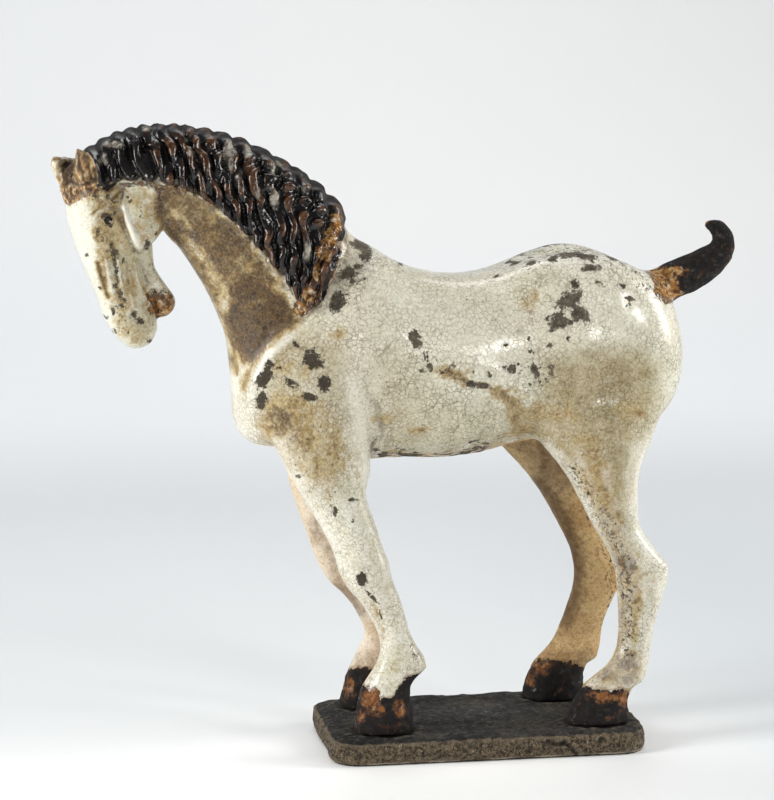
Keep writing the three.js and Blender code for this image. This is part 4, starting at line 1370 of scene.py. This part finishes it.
def clay_material():
    """Rough dark fired clay, dirtier and paler along its edges, partly with painted highlight, and with a
    painted contact shadow along its foot.
    """
    n = Nodes("bare_clay")
    small = n.noise(300, 7, 0.75)
    wide = n.noise(38, 3, 0.55)
    grit = n.noise(460, 8, 0.85, n.warped(60, 0.004))
    ridge = n.field("ridge")
    soot_and_shadow = (0.008, 0.007, 0.006)
    dark = n.layers(
        wide.picks((0.013, 0.0125, 0.012), (0.040, 0.038, 0.034)),
        (small.between(0.45, 0.62, 0.0, 0.8), (0.008, 0.008, 0.008)),
        (small.between(0.36, 0.46, 0.85, 0.0), (0.098, 0.088, 0.073)),
    )
    dust = n.layers(
        grit.picks((0.014, 0.010, 0.006), (0.215, 0.160, 0.098), 0.42, 0.60),
        (small.between(0.36, 0.46, 0.7, 0.0), (0.012, 0.009, 0.006)),
        (n.noise(380, 4, 0.7).between(0.60, 0.67, 0.0, 0.8), (0.42, 0.34, 0.23)),
    )
    low = n.field("level") + n.noise(150, 5, 0.75).between(0.3, 0.7, -0.45, 0.45)
    low = low.between(0.2, 0.75, 1.0, 0.0)
    dusty = low * n.noise(90, 4, 0.65).between(0.3, 0.5, 0.62, 1.0)
    dusty = n.math("ADD", dusty, wide.between(0.5, 0.75, 0.0, 0.25), clamp=True)
    foot = n.field("height") + small.between(0.2, 0.8, -0.03, 0.03)
    colour = n.layers(
        dark,
        (dusty, dust),
        # Paler ridges: dust, and a painted highlight along the top edge.
        (ridge.between(0.2, 0.8, 0.0, 0.45), (0.20, 0.16, 0.11)),
        (ridge.between(-0.8, -0.2, 0.8, 0.0), soot_and_shadow),
        (n.noise(300, 4, 0.75).between(0.60, 0.70) * low * 0.6, (0.34, 0.27, 0.18)),
        (foot.between(0.08, 0.16, 0.8, 0.0) * wide.between(0.4, 0.6), (0.50, 0.43, 0.32)),
        # A painted contact shadow along the foot.
        (foot.between(0.04, 0.08, 0.9, 0.0), soot_and_shadow),
        (n.field("crack"), soot_and_shadow),
    )
    relief = small * 0.9 + n.noise(1100, 3, 0.6) * 0.4
    return n.finish(n.result("ShaderNodeBsdfPrincipled", 0, {
        "Base Color": colour, "Roughness": small.between(0.3, 0.7, 0.75, 0.95),
        "Normal": n.bump(relief, 0.0022, 1.0), "Specular IOR Level": 0.3,
    }))


def floor_material():
    """Nearly white, with painted shade greyer beyond the horse and a painted shadow on its right, and clear
    when seen from behind.
    """
    n = Nodes("floor")
    x, y, z = n.parted()
    colour = n.layers(
        # Painted falloff of light: paler in front of the horse, greyer behind it.
        y.picks((0.985, 0.995, 1.0), (0.715, 0.737, 0.75), -0.07, 0.14),
        (y.between(0.7, 1.2), (0.93, 0.955, 0.975)),
        (z.between(0.0, 0.18), x.picks((0.965, 0.98, 0.995), (1.0, 1.0, 1.0), -0.3, 0.3)),
        # A painted shadow to the right of the slab.
        (x.between(-0.05, 0.3) * y.between(1.0, 0.3), (0.60, 0.63, 0.65)),
    )
    inputs = {"Base Color": colour, "Roughness": 0.75, "Specular IOR Level": 0.2}
    shader = n.result("ShaderNodeBsdfPrincipled", 0, inputs)
    behind = n.result("ShaderNodeNewGeometry", "Backfacing")
    clear = n.result("ShaderNodeBsdfTransparent", 0)
    return n.finish(n.result("ShaderNodeMixShader", 0, {0: behind, 1: shader, 2: clear}))


# The studio

def floor():
    """A floor that curves up into a backdrop behind the horse."""
    rows, columns, width = 40, 8, 7.0
    front, bend, radius, wall = -2.2, 1.0, 1.0, 2.2
    # The shares of the rows that are flat, and flat or curved.
    flat, curved = 0.4, 0.75
    points, faces = [], []
    for r in range(rows + 1):
        t = r / rows
        if t < flat:
            y, z = front + (bend - front) * t / flat, 0.0
        elif t < curved:
            angle = (t - flat) / (curved - flat) * math.pi / 2
            y, z = bend + radius * math.sin(angle), radius - radius * math.cos(angle)
        else:
            y, z = bend + radius, radius + wall * (t - curved) / (1 - curved)
        for c in range(columns + 1):
            points.append((width * (c / columns - 0.5), y, z))
    for r in range(rows):
        for c in range(columns):
            a = r * (columns + 1) + c
            faces.append((a, a + 1, a + columns + 2, a + columns + 1))
    mesh = bpy.data.meshes.new("floor")
    mesh.from_pydata(points, [], faces)
    mesh.polygons.foreach_set("use_smooth", [True] * len(faces))
    mesh.materials.append(floor_material())
    sheet = placed("floor", mesh)


def lamp(name, place, aim, size, watts, colour):
    data = bpy.data.lights.new(name, "AREA")
    data.shape = "RECTANGLE"
    data.size, data.size_y = size
    data.energy = watts
    data.color = colour
    made = placed(name, data)
    place, aim = np.array(place, float), np.array(aim, float)
    back = place - aim
    back /= np.linalg.norm(back)
    right = np.cross([0, 0, 1], back)
    right /= np.linalg.norm(right)
    set_axes(made, right, np.cross(back, right), back, place)


def set_axes(made, right, up, back, place):
    made.matrix_world = Matrix([[right[k], up[k], back[k], place[k]] for k in range(3)] + [[0, 0, 0, 1]])


def studio():
    floor()
    middle = (-0.05, 0, 0.2)
    lamp("left", (-1.55, -0.35, 0.75), middle, (0.6, 1.0), 25, (1.0, 0.99, 0.97))
    lamp("right", (1.5, -0.1, 0.75), middle, (0.5, 1.0), 19, (1.0, 0.985, 0.96))
    lamp("front", (0.40, -1.66, 0.45), middle, (0.22, 0.22), 4.5, (1.0, 0.98, 0.95))
    lamp("front right", (1.16, -1.16, 0.9), middle, (0.28, 0.28), 5.5, (1.0, 0.98, 0.95))
    lamp("over", (0.0, 0.8, 1.7), middle, (1.2, 0.6), 10, (0.98, 0.985, 1.0))
    world = bpy.data.worlds.new("studio")
    world.use_nodes = True
    tree = world.node_tree
    tree.nodes.clear()
    path = tree.nodes.new("ShaderNodeLightPath")
    choice = tree.nodes.new("ShaderNodeMixShader")
    out = tree.nodes.new("ShaderNodeOutputWorld")
    tree.links.new(path.outputs["Is Camera Ray"], choice.inputs[0])
    # First what lights the horse, then what the camera sees beyond the backdrop.
    for socket, colour, strength in ((1, (0.92, 0.96, 1.0, 1), 0.20), (2, (0.86, 0.90, 0.95, 1), 0.9)):
        sky = tree.nodes.new("ShaderNodeBackground")
        sky.inputs[0].default_value = colour
        sky.inputs[1].default_value = strength
        tree.links.new(sky.outputs[0], choice.inputs[socket])
    tree.links.new(choice.outputs[0], out.inputs["Surface"])
    bpy.context.scene.world = world
    bpy.context.scene.view_settings.view_transform = "Standard"


def camera():
    data = bpy.data.cameras.new("camera")
    data.sensor_fit = "VERTICAL"
    data.sensor_height = 36
    data.lens = FOCAL * data.sensor_height / PICTURE[1]
    made = placed("camera", data)
    set_axes(made, RIGHT, UP, BACK, EYE / 1000)
    bpy.context.scene.camera = made


camera()
horse()
slab()
studio()
